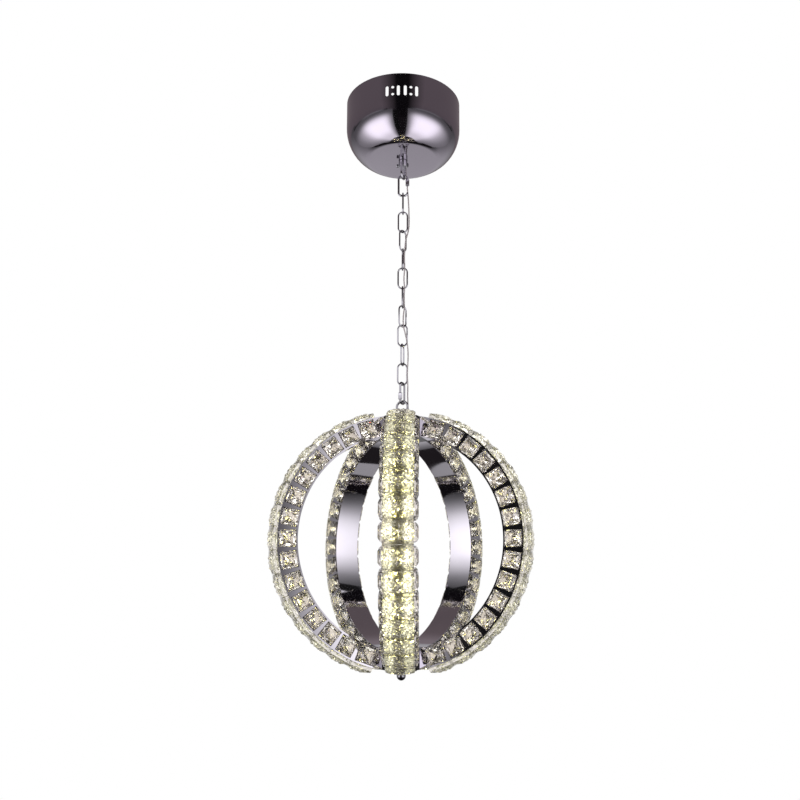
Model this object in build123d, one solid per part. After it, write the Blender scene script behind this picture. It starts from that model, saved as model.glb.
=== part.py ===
# Crystal globe chandelier: a ceiling cup with its LED driver, a steel chain with a clear cord beside it,
# and a globe of five crystal-set ribs between two small hubs. Millimetres throughout.
# The origin is the middle of the ceiling bracket's upper face, +Z is up, the globe hangs along -Z,
# and the front rib faces -Y.
from build123d import *
import math
import os

os.makedirs("parts", exist_ok=True)

# General
cut_overrun = 1.0
running_gap = 0.05
contact_gap = 0.3
sheet_steel = 1.2

# Canopy cup
canopy_radius = 90.0
canopy_height = 92.0
canopy_bend = 55.0
canopy_bend_angle = 62.0
canopy_edge = 18.0
canopy_wall = 1.0
vent_slot_width = 4.5
vent_slot_height = 16.5
vent_drop = 27.5
vent_slot_offsets = (5.2, 22.2)
vent_dot_offset = 13.7
vent_dot_rise = 5.6

# Ceiling bracket
bracket_length = 150.0
bracket_width = 30.0
bracket_thickness = 2.5
ceiling_slot_spacing = 90.0
ceiling_slot_length = 20.0
ceiling_slot_radius = 2.6
earth_screw_place = 26.0

# Threaded tube that carries the cup and the chain
nipple_radius = 5.0
nipple_bore = 3.0
nipple_recess = 0.3
nipple_nut_flats = 14.0
nipple_nut_height = 5.0
washer_radius = 9.5
washer_thickness = 1.2

# Hang loop
collar_radius = 7.0
collar_height = 10.0
collar_thread = 7.0
loop_wire_radius = 1.75
loop_half_width = 7.5
loop_drop = 27.5
loop_yaw = 72.0
set_screw_radius = 1.5
set_screw_head_radius = 2.6
set_screw_head_length = 3.2
set_screw_reach = 2.0

# Driver tray, driver and terminals
tray_thickness = 1.5
tray_foot_half_length = 32.0
tray_front = -10.0
tray_wall_place = 22.0
tray_wall_half_length = 45.0
tray_wall_height = 38.0
driver_half_length = 39.0
driver_depth = 21.0
driver_height = 32.0
driver_foot_gap = 5.0
driver_edge = 1.5
driver_tab_length = 5.5
driver_tab_thickness = 2.0
driver_screw_radius = 1.5
terminal_length = 20.0
terminal_depth = 13.0
terminal_height = 12.0
terminal_place = (-21.0, 3.0)
terminal_poles = 3
terminal_screw_radius = 1.8
terminal_screw_sink = 0.6
terminal_screw_length = 3.0
lead_radius = 0.9
lead_hole_radius = 4.0
lead_bend = 5.0
output_bend = 4.0

# Screws
small_screw_radius = 1.5
small_screw_head_radius = 2.7
small_screw_head_height = 1.8
small_screw_length = 7.0
earth_screw_radius = 2.0
earth_screw_head_radius = 3.8
earth_screw_head_height = 2.6

# Chain
link_count = 10
link_wire_radius = 1.2
link_inner_length = 31.1
link_half_width = 7.1
link_bend_share = 0.995
link_yaws = (90.0, 0.0, 48.0, 96.0, 0.0, 88.0, 43.0, -2.0, 75.0, 0.0)
quick_wire_radius = 1.6
quick_inner_length = 29.3
quick_half_width = 7.0
quick_corner = 5.0
quick_opening = 5.0
upper_quick_yaw = 0.0
lower_quick_yaw = 65.0
sleeve_flats = 6.2
sleeve_length = 10.0
sleeve_inset = 0.6
sleeve_round_share = 1.08

# Globe
rib_count = 5
rib_inner_radius = 159.0
rib_outer_radius = 188.2
rib_half_width = 20.0
row_count = 15
row_pitch_angle = 10.03
window_size = 20.5
cover_thickness = 2.0
cover_gap = 0.1
strip_half_width = 9.0
strip_thickness = 1.6
strip_end_place = 40.5
chip_length = 3.5
chip_width = 2.8
chip_height = 0.9
chip_sink = 0.1
chip_offset = 6.5

# Crystals
cheek_crystal_size = 24.5
cheek_crystal_girdle = 3.0
cheek_crystal_height = 6.4
cheek_crystal_table = 10.0
cheek_crystal_back = 20.0
cheek_crystal_depth = 6.5
cheek_crystal_tip = 1.0
outer_crystal_length = 32.4
outer_crystal_width = 40.0
outer_crystal_girdle = 5.2
outer_crystal_height = 11.8
outer_table_length = 12.0
outer_table_width = 17.0

# Hubs
hub_apothem = 33.5
hub_height = 28.5
hub_wall = 1.5
cap_thickness = 1.5
boss_radius = 3.2
boss_place = hub_apothem / math.cos(math.pi / rib_count) - 6.8
rib_screw_spread = hub_apothem * math.tan(math.pi / rib_count) - 11.34
lead_port_radius = 3.0
stud_radius = 3.0
stud_nut_flats = 10.0
stud_nut_height = 5.0
stud_length = 10.0
eye_inner_radius = 7.0
eye_wire_radius = 1.75
eye_yaw = -20.0
eye_collar_radius = 4.2
eye_rise = 27.5
finial_radius = 6.8
finial_neck_radius = 3.4
finial_neck_length = 5.6
connector_radius = 12.5
connector_height = 15.0

# Cord
cord_radius = 1.0
arc_share = 0.45
grip_place = (4.0, 12.0)
grip_flange_radius = 4.4
grip_flange_height = 3.0
grip_body_radius = 3.0
grip_inside = 8.0
grip_hole_gap = 0.1
grommet_place = (9.0, 3.2)
grommet_body_radius = 3.0
grommet_flange_radius = 3.8
grommet_flange_height = 1.6
grommet_inside = 3.0

# Levels worked out from the sizes above
cup_floor = -canopy_height + canopy_wall
tray_top = cup_floor + tray_thickness
collar_bottom = -canopy_height - collar_height
loop_seat = -canopy_height - loop_drop
loop_bar = loop_seat - loop_wire_radius
upper_quick_top = loop_seat + contact_gap
upper_quick_seat = upper_quick_top - quick_inner_length
link_tops = []
seat = upper_quick_seat
for link in range(link_count):
    link_tops.append(seat + contact_gap)
    seat = link_tops[-1] - link_inner_length
lower_quick_top = seat + contact_gap
lower_quick_seat = lower_quick_top - quick_inner_length
eye_top = lower_quick_seat + contact_gap
hub_top = eye_top - eye_rise
rib_end_height = math.sqrt(rib_outer_radius**2 - hub_apothem**2)
globe_centre = hub_top - rib_end_height
hub_reach = rib_end_height - cap_thickness
row_radius = (rib_inner_radius + rib_outer_radius) / 2
row_angles = [(row - (row_count - 1) / 2) * row_pitch_angle for row in range(row_count)]
rib_turns = [-90 + 360 / rib_count * rib for rib in range(rib_count)]
rib_screw_level = (rib_end_height + math.sqrt(rib_inner_radius**2 - hub_apothem**2)) / 2


def save(name, *solids):
    shapes = [solid for item in solids for solid in item.solids()]
    for number, solid in enumerate(shapes):
        solid.label = f"{name}_{number + 1}"
    whole = shapes[0] if len(shapes) == 1 else Compound(children=shapes)
    whole.label = name
    export_step(whole, f"parts/{name}.step")


def rod(radius, low, high):
    """Upright round bar on the Z axis between two levels."""
    return Pos(0, 0, (low + high) / 2) * Cylinder(radius, high - low)


def nut(flats, low, height, bore):
    """Hexagon nut on the Z axis, standing on the level low."""
    body = extrude(RegularPolygon(flats / 2, 6, major_radius=False), height)
    hole = rod(bore, -cut_overrun, height + cut_overrun)
    return Pos(0, 0, low) * (body - hole)


def screw(radius, length, head_radius, head_height):
    """Pan-head screw whose shank runs down from the underside of the head at z = 0."""
    head = rod(head_radius, 0, head_height)
    head = fillet(head.edges().group_by(Axis.Z)[-1], head_height / 2)
    return head + rod(radius, -length, 0)


def small_screw():
    return screw(small_screw_radius, small_screw_length, small_screw_head_radius, small_screw_head_height)


def wire_ring(half_width, centre_length, corner, wire_radius):
    """Closed ring of round wire in the XZ plane under a top bar at z = 0, measured at the wire's centre."""
    outline = RectangleRounded(2 * half_width, centre_length, corner)
    path = Plane.XZ * Pos(0, -centre_length / 2) * outline
    wire = path.face().outer_wire()
    start = Plane(origin=wire @ 0, z_dir=wire % 0)
    return sweep(start * Circle(wire_radius), path=wire)


def bent_lead(points, radius, bend):
    """Round lead along straight runs joined by tangent arcs."""
    path = FilletPolyline(*points, radius=bend)
    start = Plane(origin=path @ 0, z_dir=path % 0)
    return sweep(start * Circle(radius), path=path)


def taper_block(length, width, girdle, height, table_length, table_width):
    """Cut crystal: an upright girdle under a sloping crown with a flat table, standing on z = 0."""
    base = Pos(0, 0, girdle / 2) * Box(length, width, girdle)
    low = Pos(0, 0, girdle) * Rectangle(length, width)
    high = Pos(0, 0, height) * Rectangle(table_length, table_width)
    return base + loft([low, high], ruled=True)


# Ceiling cup and what is inside it

def canopy_shell():
    across = math.cos(math.radians(canopy_bend_angle))
    down = math.sin(math.radians(canopy_bend_angle))

    def cup(inset):
        radius = canopy_radius - inset
        depth = canopy_height - inset
        bend = canopy_bend - inset
        edge = canopy_edge - inset
        bend_level = -depth + bend * down + edge * (1 - down)
        edge_place = radius - bend + (bend - edge) * across
        wall = Line((radius, 0), (radius, bend_level))
        upper_turn = CenterArc((radius - bend, bend_level), bend, -canopy_bend_angle, canopy_bend_angle)
        lower_turn = CenterArc((edge_place, -depth + edge), edge, -90, 90 - canopy_bend_angle)
        floor = Line((edge_place, -depth), (0, -depth))
        outline = [wall, upper_turn, lower_turn, floor, Line((0, -depth), (0, 0)), Line((0, 0), (radius, 0))]
        return revolve(Plane.XZ * make_face(Curve() + outline), Axis.Z)

    shell = cup(0) - cup(canopy_wall)
    shell -= rod(nipple_radius + running_gap, -canopy_height - cut_overrun, 0)
    shell -= Pos(*grip_place) * rod(grip_body_radius + grip_hole_gap, -canopy_height - cut_overrun, 0)
    reach = canopy_radius + cut_overrun
    depth = canopy_radius - vent_slot_offsets[-1] - vent_slot_width
    for place in vent_slot_offsets:
        for side in (-1, 1):
            outline = SlotOverall(vent_slot_height, vent_slot_width, 90)
            slot = Plane.XZ * Pos(side * place, -vent_drop) * outline
            cut = extrude(slot, reach) - extrude(slot, depth)
            shell -= cut
            shell -= cut.mirror(Plane.XZ)
    for side in (-1, 1):
        for level in (-1, 1):
            height = -vent_drop + level * vent_dot_rise
            dot = Plane.XZ * Pos(side * vent_dot_offset, height) * Circle(vent_slot_width / 2)
            cut = extrude(dot, reach) - extrude(dot, depth)
            shell -= cut
            shell -= cut.mirror(Plane.XZ)
    return shell


def ceiling_bracket():
    plate = RectangleRounded(bracket_length, bracket_width, bracket_width / 5)
    body = extrude(plate, -bracket_thickness)
    holes = Circle(nipple_radius + running_gap)
    holes += Pos(earth_screw_place, 0) * Circle(earth_screw_radius + running_gap)
    for side in (-1, 1):
        place = Pos(side * ceiling_slot_spacing / 2, 0)
        holes += place * SlotOverall(ceiling_slot_length, 2 * ceiling_slot_radius)
    cut = extrude(holes, bracket_thickness + 2 * cut_overrun)
    return body - Pos(0, 0, -bracket_thickness - cut_overrun) * cut


def centre_nipple():
    low = -canopy_height - collar_thread
    return rod(nipple_radius, low, -nipple_recess) - rod(nipple_bore, low - cut_overrun, cut_overrun)


def nipple_nuts():
    bore = nipple_radius + running_gap
    upper = nut(nipple_nut_flats, -bracket_thickness - nipple_nut_height, nipple_nut_height, bore)
    lower = nut(nipple_nut_flats, tray_top + washer_thickness, nipple_nut_height, bore)
    return upper, lower


def nipple_washer():
    top = tray_top + washer_thickness
    disc = rod(washer_radius, tray_top, top)
    return disc - rod(nipple_radius + running_gap, tray_top - cut_overrun, top + cut_overrun)


def earth_screw():
    shape = screw(earth_screw_radius, bracket_thickness, earth_screw_head_radius, earth_screw_head_height)
    return Pos(earth_screw_place, 0, -bracket_thickness) * Rot(180, 0, 0) * shape


def hang_loop():
    collar = rod(collar_radius, collar_bottom, -canopy_height)
    collar = fillet(collar.edges().group_by(Axis.Z)[0], collar_radius / 4)
    bend_level = loop_bar + loop_half_width
    leg = rod(loop_wire_radius, bend_level, collar_bottom + collar_height / 2)
    legs = [Pos(side * loop_half_width, 0, 0) * leg for side in (-1, 1)]
    bend = Pos(0, 0, bend_level) * Rot(90, 0, 0) * Torus(loop_half_width, loop_wire_radius)
    size = 3 * loop_half_width
    bend -= Pos(0, 0, bend_level + size / 2) * Box(size, size, size)
    body = Rot(0, 0, loop_yaw) * (collar + legs[0] + legs[1] + bend)
    body -= rod(nipple_radius + running_gap, -canopy_height - collar_thread, -canopy_height + cut_overrun)
    hole_level = -canopy_height - collar_thread - set_screw_radius * 2 / 3
    hole = Pos(-collar_radius, 0, hole_level) * Rot(0, 90, 0) * Cylinder(
        set_screw_radius + running_gap, 2 * set_screw_reach)
    return body - hole


def loop_set_screw():
    level = -canopy_height - collar_thread - set_screw_radius * 2 / 3
    shape = screw(set_screw_radius, set_screw_reach, set_screw_head_radius, set_screw_head_length)
    shape = Rot(0, -90, 0) * shape
    stand = collar_radius + contact_gap / 3
    return Pos(-stand, 0, level) * shape


def driver_tray():
    foot_depth = tray_wall_place - tray_front
    foot = Pos(0, tray_front + foot_depth / 2, (cup_floor + tray_top) / 2) * Box(
        2 * tray_foot_half_length, foot_depth, tray_thickness)
    wall_middle = tray_wall_place + tray_thickness / 2
    wall = Pos(0, wall_middle, cup_floor + tray_wall_height / 2) * Box(
        2 * tray_wall_half_length, tray_thickness, tray_wall_height)
    body = foot + wall
    low = cup_floor - cut_overrun
    high = tray_top + cut_overrun
    body -= rod(nipple_radius + running_gap, low, high)
    body -= Pos(*grip_place) * rod(grip_body_radius + grip_hole_gap, low, high)
    across = 2 * (tray_thickness + cut_overrun)
    for place, level, radius in tray_wall_holes():
        body -= Pos(place, wall_middle, level) * Rot(90, 0, 0) * Cylinder(radius, across)
    return body


def driver_level():
    return cup_floor + driver_foot_gap + driver_height / 2


def output_place():
    return grip_place[0] + lead_hole_radius + lead_bend


def tray_wall_holes():
    screw_place = driver_half_length + driver_tab_length / 2
    ports = (terminal_place[0], terminal_lead_level()), (output_place(), driver_level())
    holes = [(side * screw_place, driver_level(), driver_screw_radius + running_gap) for side in (-1, 1)]
    return holes + [(place, level, lead_hole_radius) for place, level in ports]


def terminal_lead_level():
    return tray_top + terminal_height / 3


def led_driver():
    front = tray_wall_place + tray_thickness
    middle = front + driver_depth / 2
    case = Pos(0, middle, driver_level()) * Box(2 * driver_half_length, driver_depth, driver_height)
    case = chamfer(case.edges().filter_by(Axis.X), driver_edge)
    length = 2 * (driver_half_length + driver_tab_length)
    tabs = Pos(0, front + driver_tab_thickness / 2, driver_level()) * Box(
        length, driver_tab_thickness, driver_height / 2)
    body = case + tabs
    for side in (-1, 1):
        place = Pos(side * (driver_half_length + driver_tab_length / 2), front, driver_level())
        body -= place * Rot(90, 0, 0) * Cylinder(driver_screw_radius + running_gap,
                                                 2 * (driver_tab_thickness + cut_overrun))
    return body


def driver_screws():
    shape = screw(driver_screw_radius, tray_thickness + driver_tab_thickness,
                  small_screw_head_radius, small_screw_head_height)
    place = driver_half_length + driver_tab_length / 2
    return [Pos(side * place, tray_wall_place, driver_level()) * Rot(90, 0, 0) * shape for side in (-1, 1)]


def terminal_points():
    step = terminal_length / terminal_poles
    return [terminal_place[0] + (pole - (terminal_poles - 1) / 2) * step for pole in range(terminal_poles)]


def terminal_block():
    body = Pos(terminal_place[0], terminal_place[1], tray_top + terminal_height / 2) * Box(
        terminal_length, terminal_depth, terminal_height)
    body = chamfer(body.edges().group_by(Axis.Z)[-1], terminal_height / 12)
    for place in terminal_points():
        top = tray_top + terminal_height
        low = top - terminal_screw_sink - terminal_screw_length
        well = rod(terminal_screw_radius + running_gap, low, top + cut_overrun)
        body -= Pos(place, terminal_place[1]) * well
    return body


def terminal_screws():
    top = tray_top + terminal_height - terminal_screw_sink
    screws = []
    for place in terminal_points():
        body = rod(terminal_screw_radius, top - terminal_screw_length, top)
        width = terminal_screw_radius / 3
        slot = Pos(0, 0, top) * Box(3 * terminal_screw_radius, width, terminal_screw_radius)
        screws.append(Pos(place, terminal_place[1]) * (body - slot))
    return screws


def driver_leads():
    back = terminal_place[1] + terminal_depth / 2
    front = tray_wall_place + tray_thickness
    leads = []
    for side in (-1, 1):
        lead = Pos(terminal_place[0] + side * 2 * lead_radius, (back + front) / 2, terminal_lead_level())
        leads.append(lead * Rot(90, 0, 0) * Cylinder(lead_radius, front - back))
    level = driver_level()
    top = cup_floor + grip_inside
    points = [(output_place(), front, level), (output_place(), grip_place[1], level),
              (grip_place[0], grip_place[1], level), (grip_place[0], grip_place[1], top)]
    leads.append(bent_lead(points, lead_radius, output_bend))
    return leads


def cord_grip():
    flange = rod(grip_flange_radius, -canopy_height - grip_flange_height, -canopy_height)
    flange = fillet(flange.edges().group_by(Axis.Z)[0], grip_flange_height / 2)
    body = flange + rod(grip_body_radius, -canopy_height, cup_floor + grip_inside)
    bore = rod(cord_radius + running_gap, -canopy_height - 2 * grip_flange_height, 0)
    return Pos(*grip_place) * (body - bore)


# Chain

def chain_link(number):
    centre_length = link_inner_length + 2 * link_wire_radius
    ring = wire_ring(link_half_width, centre_length, link_half_width * link_bend_share, link_wire_radius)
    return Pos(0, 0, link_tops[number] + link_wire_radius) * Rot(0, 0, link_yaws[number]) * ring


def quick_straight():
    """Length of the straight legs of a quick link."""
    return quick_inner_length + 2 * quick_wire_radius - 2 * quick_corner


def sleeve_drop(upper):
    """Depth of the sleeve nut's upper end below the quick link's inner top."""
    top = quick_corner - quick_wire_radius + sleeve_inset
    return top if upper else top + quick_straight() - 2 * sleeve_inset - sleeve_length


def quick_link(top, yaw, side, upper):
    centre_length = quick_inner_length + 2 * quick_wire_radius
    ring = wire_ring(quick_half_width, centre_length, quick_corner, quick_wire_radius)
    middle = -quick_wire_radius - sleeve_drop(upper) - sleeve_length / 2
    size = 4 * quick_wire_radius
    ring -= Pos(side * quick_half_width, 0, middle) * Box(size, size, quick_opening)
    return Pos(0, 0, top + quick_wire_radius) * Rot(0, 0, yaw) * ring


def sleeve_nut(top, yaw, side, upper):
    low = top - sleeve_drop(upper) - sleeve_length
    shape = nut(sleeve_flats, 0, sleeve_length, quick_wire_radius + running_gap)
    shape = shape & rod(sleeve_flats / 2 * sleeve_round_share, -cut_overrun, sleeve_length + cut_overrun)
    return Rot(0, 0, yaw) * Pos(side * quick_half_width, 0, low) * shape


# Globe, modelled round its own centre

def in_globe(shape):
    return Pos(0, 0, globe_centre) * shape


def rib_sector(inner, outer, half_width, start):
    """Half ring in the XZ plane, cut off by an upright plane at x = start."""
    ring = Circle(outer) - Circle(inner)
    ring = ring & Pos(start + outer, 0) * Rectangle(2 * outer, 2 * outer)
    return extrude(Plane.XZ * ring, half_width, both=True)


def at_row(angle):
    return Rot(0, -angle, 0)


def rib_frame(turn):
    body = rib_sector(rib_inner_radius, rib_outer_radius, rib_half_width, hub_apothem)
    body -= rib_sector(rib_inner_radius + sheet_steel, rib_outer_radius + cut_overrun,
                       rib_half_width - sheet_steel, hub_apothem + sheet_steel)
    across = 2 * (rib_half_width + cut_overrun)
    for angle in row_angles:
        body -= at_row(angle) * Pos(row_radius, 0, 0) * Box(window_size, across, window_size)
    reach = 4 * sheet_steel
    for level in (-1, 1):
        for side in (-1, 1):
            place = Pos(hub_apothem, side * rib_screw_spread, level * rib_screw_level)
            body -= place * Rot(0, 90, 0) * Cylinder(small_screw_radius + running_gap, reach)
    body -= Pos(hub_apothem, 0, rib_screw_level) * Rot(0, 90, 0) * Cylinder(lead_port_radius, reach)
    return in_globe(Rot(0, 0, turn) * body)


def rib_cover(turn):
    outer = rib_outer_radius
    half_width = rib_half_width - sheet_steel - cover_gap
    body = rib_sector(outer - cover_thickness, outer, half_width, hub_apothem + sheet_steel + cover_gap)
    return in_globe(Rot(0, 0, turn) * body)


def led_strip(turn):
    low = rib_inner_radius + sheet_steel
    body = rib_sector(low, low + strip_thickness, strip_half_width, strip_end_place)
    chip_middle = low + strip_thickness + chip_height / 2 - chip_sink
    for angle in row_angles:
        for side in (-1, 1):
            chip = Pos(chip_middle, side * chip_offset, 0) * Box(chip_height, chip_width, chip_length)
            body += at_row(angle) * chip
    return in_globe(Rot(0, 0, turn) * body)


def pointed_back():
    """The part of a cheek crystal that reaches through its window into the rib."""
    wide = Rectangle(cheek_crystal_back, cheek_crystal_back)
    tip = Pos(0, 0, -cheek_crystal_depth) * Rectangle(cheek_crystal_tip, cheek_crystal_tip)
    return loft([tip, wide], ruled=True)


def cheek_crystals(turn):
    cut = taper_block(cheek_crystal_size, cheek_crystal_size, cheek_crystal_girdle, cheek_crystal_height,
                      cheek_crystal_table, cheek_crystal_table)
    cut += pointed_back()
    crystals = []
    for side in (-1, 1):
        seated = Pos(row_radius, side * rib_half_width, 0) * Rot(-90 * side, 0, 0) * cut
        crystals += [in_globe(Rot(0, 0, turn) * at_row(angle) * seated) for angle in row_angles]
    return crystals


def outer_crystals(turn):
    cut = taper_block(outer_crystal_length, outer_crystal_width, outer_crystal_girdle, outer_crystal_height,
                      outer_table_length, outer_table_width)
    seated = Pos(rib_outer_radius, 0, 0) * Rot(0, 90, 0) * cut
    return [in_globe(Rot(0, 0, turn) * at_row(angle) * seated) for angle in row_angles]


def pentagon(apothem):
    return RegularPolygon(apothem, rib_count, major_radius=False, rotation=-90 - 180 / rib_count)


def corner_turns():
    return [turn + 180 / rib_count for turn in rib_turns]


def hub(with_ports):
    """Five-sided box of the top hub, closed towards the globe's centre and open outwards."""
    low = hub_reach - hub_height
    body = Pos(0, 0, low) * extrude(pentagon(hub_apothem), hub_height)
    body -= Pos(0, 0, low + hub_wall) * extrude(pentagon(hub_apothem - hub_wall), hub_height)
    for turn in corner_turns():
        boss = rod(boss_radius, low, hub_reach)
        body += Rot(0, 0, turn) * Pos(boss_place, 0, 0) * boss
    for turn in corner_turns():
        bottom = hub_reach - 2 * small_screw_length
        hole = rod(small_screw_radius + running_gap, bottom, hub_reach + cut_overrun)
        body -= Rot(0, 0, turn) * Pos(boss_place, 0, 0) * hole
    for turn in rib_turns:
        for side in (-1, 1):
            place = Pos(hub_apothem, side * rib_screw_spread, rib_screw_level)
            hole = place * Rot(0, 90, 0) * Cylinder(small_screw_radius + running_gap, 4 * hub_wall)
            body -= Rot(0, 0, turn) * hole
        if with_ports:
            port = Rot(0, 90, 0) * Cylinder(lead_port_radius, 4 * hub_wall)
            body -= Rot(0, 0, turn) * Pos(hub_apothem, 0, rib_screw_level) * port
    return body & Pos(0, 0, low) * extrude(pentagon(hub_apothem), hub_height)


def hub_cap(with_grommet):
    body = Pos(0, 0, hub_reach) * extrude(pentagon(hub_apothem), cap_thickness)
    top = rib_end_height + cut_overrun
    body -= rod(stud_radius + running_gap, hub_reach - cut_overrun, top)
    for turn in corner_turns():
        hole = rod(small_screw_radius + running_gap, hub_reach - cut_overrun, top)
        body -= Rot(0, 0, turn) * Pos(boss_place, 0, 0) * hole
    if with_grommet:
        body -= Pos(*grommet_place) * rod(grommet_body_radius + running_gap, hub_reach - cut_overrun, top)
    return body


def flipped(shape):
    """The same piece for the bottom hub, as the top hub's mirror image."""
    return shape.mirror(Plane.XY)


def cap_screws():
    shape = Pos(0, 0, rib_end_height) * small_screw()
    upper = [Rot(0, 0, turn) * Pos(boss_place, 0, 0) * shape for turn in corner_turns()]
    return [in_globe(item) for item in upper] + [in_globe(flipped(item)) for item in upper]


def rib_screws():
    screws = []
    for turn in rib_turns:
        for level in (-1, 1):
            for side in (-1, 1):
                place = Pos(hub_apothem - hub_wall, side * rib_screw_spread, level * rib_screw_level)
                screws.append(in_globe(Rot(0, 0, turn) * place * Rot(0, -90, 0) * small_screw()))
    return screws


def globe_eye():
    ring_level = rib_end_height + eye_rise - eye_inner_radius
    ring = Pos(0, 0, ring_level) * Rot(90, 0, 0) * Torus(eye_inner_radius + eye_wire_radius, eye_wire_radius)
    collar = rod(eye_collar_radius, rib_end_height, ring_level - eye_inner_radius - eye_wire_radius / 2)
    stud = rod(stud_radius, rib_end_height - stud_length, rib_end_height)
    return in_globe(Rot(0, 0, eye_yaw) * (ring + collar + stud))


def finial_ball():
    neck_low = -rib_end_height - finial_neck_length
    ball = Pos(0, 0, neck_low - finial_radius + finial_neck_radius / 2) * Sphere(finial_radius)
    neck = rod(finial_neck_radius, neck_low, -rib_end_height)
    stud = rod(stud_radius, -rib_end_height, -rib_end_height + stud_length)
    return in_globe(ball + neck + stud)


def stud_nuts():
    upper = nut(stud_nut_flats, hub_reach - stud_nut_height, stud_nut_height, stud_radius + running_gap)
    return in_globe(upper), in_globe(flipped(upper))


def cord_grommet():
    top = rib_end_height + grommet_flange_height
    flange = rod(grommet_flange_radius, rib_end_height, top)
    flange = fillet(flange.edges().group_by(Axis.Z)[-1], grommet_flange_height / 2)
    body = flange + rod(grommet_body_radius, hub_reach - grommet_inside, rib_end_height)
    bore = rod(cord_radius + running_gap, hub_reach - 2 * grommet_inside, top + cut_overrun)
    return in_globe(Pos(*grommet_place) * (body - bore))


def connector_low():
    return hub_reach - hub_height + hub_wall


def lead_connector():
    body = rod(connector_radius, connector_low(), connector_low() + connector_height)
    body = chamfer(body.edges().group_by(Axis.Z)[-1], connector_height / 12)
    hub_floor_room = stud_radius + 2 * running_gap
    return in_globe(body - rod(hub_floor_room, connector_low() + connector_height / 2, rib_end_height))


def rib_leads():
    """A lead from the connector through each rib's port to the end of its LED strip."""
    start = connector_radius
    bend_place = hub_apothem + 2 * sheet_steel + lead_bend
    strip_face = rib_inner_radius + sheet_steel + strip_thickness
    end_place = strip_end_place + 2 * lead_bend
    end_level = math.sqrt((strip_face + lead_radius)**2 - end_place**2)
    points = [(start, 0, rib_screw_level), (bend_place, 0, rib_screw_level), (end_place, 0, end_level)]
    lead = bent_lead(points, lead_radius, lead_bend)
    return [in_globe(Rot(0, 0, turn) * lead) for turn in rib_turns]


# The clear cord, from the grip in the cup down beside and through the chain into the globe.
# The route is drawn between the cup's underside at route_top and the globe's top at route_bottom.

route_top = -92.0
route_bottom = -512.7
cord_route = [
    (4.0, 12.0, -83.0),
    (4.0, 12.0, -107.0),
    (5.8, 8.6, -121.0),
    (6.8, 6.2, -136.0),
    (8.3, 3.8, -152.0),
    (9.2, 2.6, -170.0),
    (9.8, 3.1, -188.0),
    (9.4, 2.4, -206.0),
    (4.6, -1.2, -224.0),
    (3.1, -1.4, -241.0),
    (2.4, -2.6, -256.0),
    (3.4, -3.6, -272.0),
    (1.6, -3.7, -288.0),
    (3.2, -3.7, -304.0),
    (2.2, -2.2, -319.0),
    (3.1, -1.5, -334.0),
    (0.9, -2.3, -350.0),
    (1.3, -3.6, -366.0),
    (5.4, -4.1, -381.0),
    (8.0, -3.9, -396.0),
    (9.0, -2.6, -411.0),
    (8.3, -3.5, -427.0),
    (7.4, -3.7, -443.0),
    (8.6, -2.6, -459.0),
    (8.1, 0.4, -474.0),
    (8.8, 2.6, -489.0),
    (9.0, 3.2, -502.5),
    (9.0, 3.2, -522.0),
]


def cord_points():
    """The route fitted between the cup and the globe, with upright ends in the grip and the grommet."""
    points = []
    for x, y, z in cord_route[2:-2]:
        share = (z - route_top) / (route_bottom - route_top)
        points.append((x, y, -canopy_height + share * (hub_top + canopy_height)))
    grip_ends = [(*grip_place, z - route_top - canopy_height) for x, y, z in cord_route[:2]]
    grommet_ends = [(*grommet_place, z - route_bottom + hub_top) for x, y, z in cord_route[-2:]]
    return grip_ends + points + grommet_ends


def cord_radii(points):
    radii = []
    for before, corner, after in zip(points, points[1:], points[2:]):
        run_in = Vector(*corner) - Vector(*before)
        run_out = Vector(*after) - Vector(*corner)
        half_turn = math.radians(run_in.get_angle(run_out) / 2)
        radii.append(arc_share * min(run_in.length, run_out.length) / math.tan(half_turn))
    return radii


def power_cord():
    points = cord_points()
    radii = cord_radii(points)
    path = FilletPolyline(*points, radius=radii)
    start = Plane(origin=path @ 0, z_dir=path % 0)
    tube = sweep(start * Circle(cord_radius), path=path)
    expected = path.length * math.pi * cord_radius**2
    print(f"cord length {path.length:.1f} mm, least bend {min(radii):.1f} mm,",
          f"volume {tube.volume:.1f} of {expected:.1f} mm3")
    return tube


print(f"globe centre {globe_centre:.2f}, hub top {hub_top:.2f}, rib end {rib_end_height:.2f}")
print(f"link tops {[round(top, 2) for top in link_tops]}, loop bar {loop_bar:.2f}, eye top {eye_top:.2f}")

save("canopy_shell", canopy_shell())
save("ceiling_bracket", ceiling_bracket())
save("centre_nipple", centre_nipple())
save("nipple_nuts", *nipple_nuts())
save("nipple_washer", nipple_washer())
save("earth_screw", earth_screw())
save("hang_loop", hang_loop())
save("loop_set_screw", loop_set_screw())
save("driver_tray", driver_tray())
save("led_driver", led_driver())
save("driver_screws", *driver_screws())
save("terminal_block", terminal_block())
save("terminal_screws", *terminal_screws())
save("driver_leads", *driver_leads())
save("cord_grip", cord_grip())

save("upper_quick_link", quick_link(upper_quick_top, upper_quick_yaw, 1, True))
save("upper_sleeve_nut", sleeve_nut(upper_quick_top, upper_quick_yaw, 1, True))
for number in range(link_count):
    save(f"chain_link_{number + 1:02d}", chain_link(number))
save("lower_quick_link", quick_link(lower_quick_top, lower_quick_yaw, -1, False))
save("lower_sleeve_nut", sleeve_nut(lower_quick_top, lower_quick_yaw, -1, False))
save("power_cord", power_cord())

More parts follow.
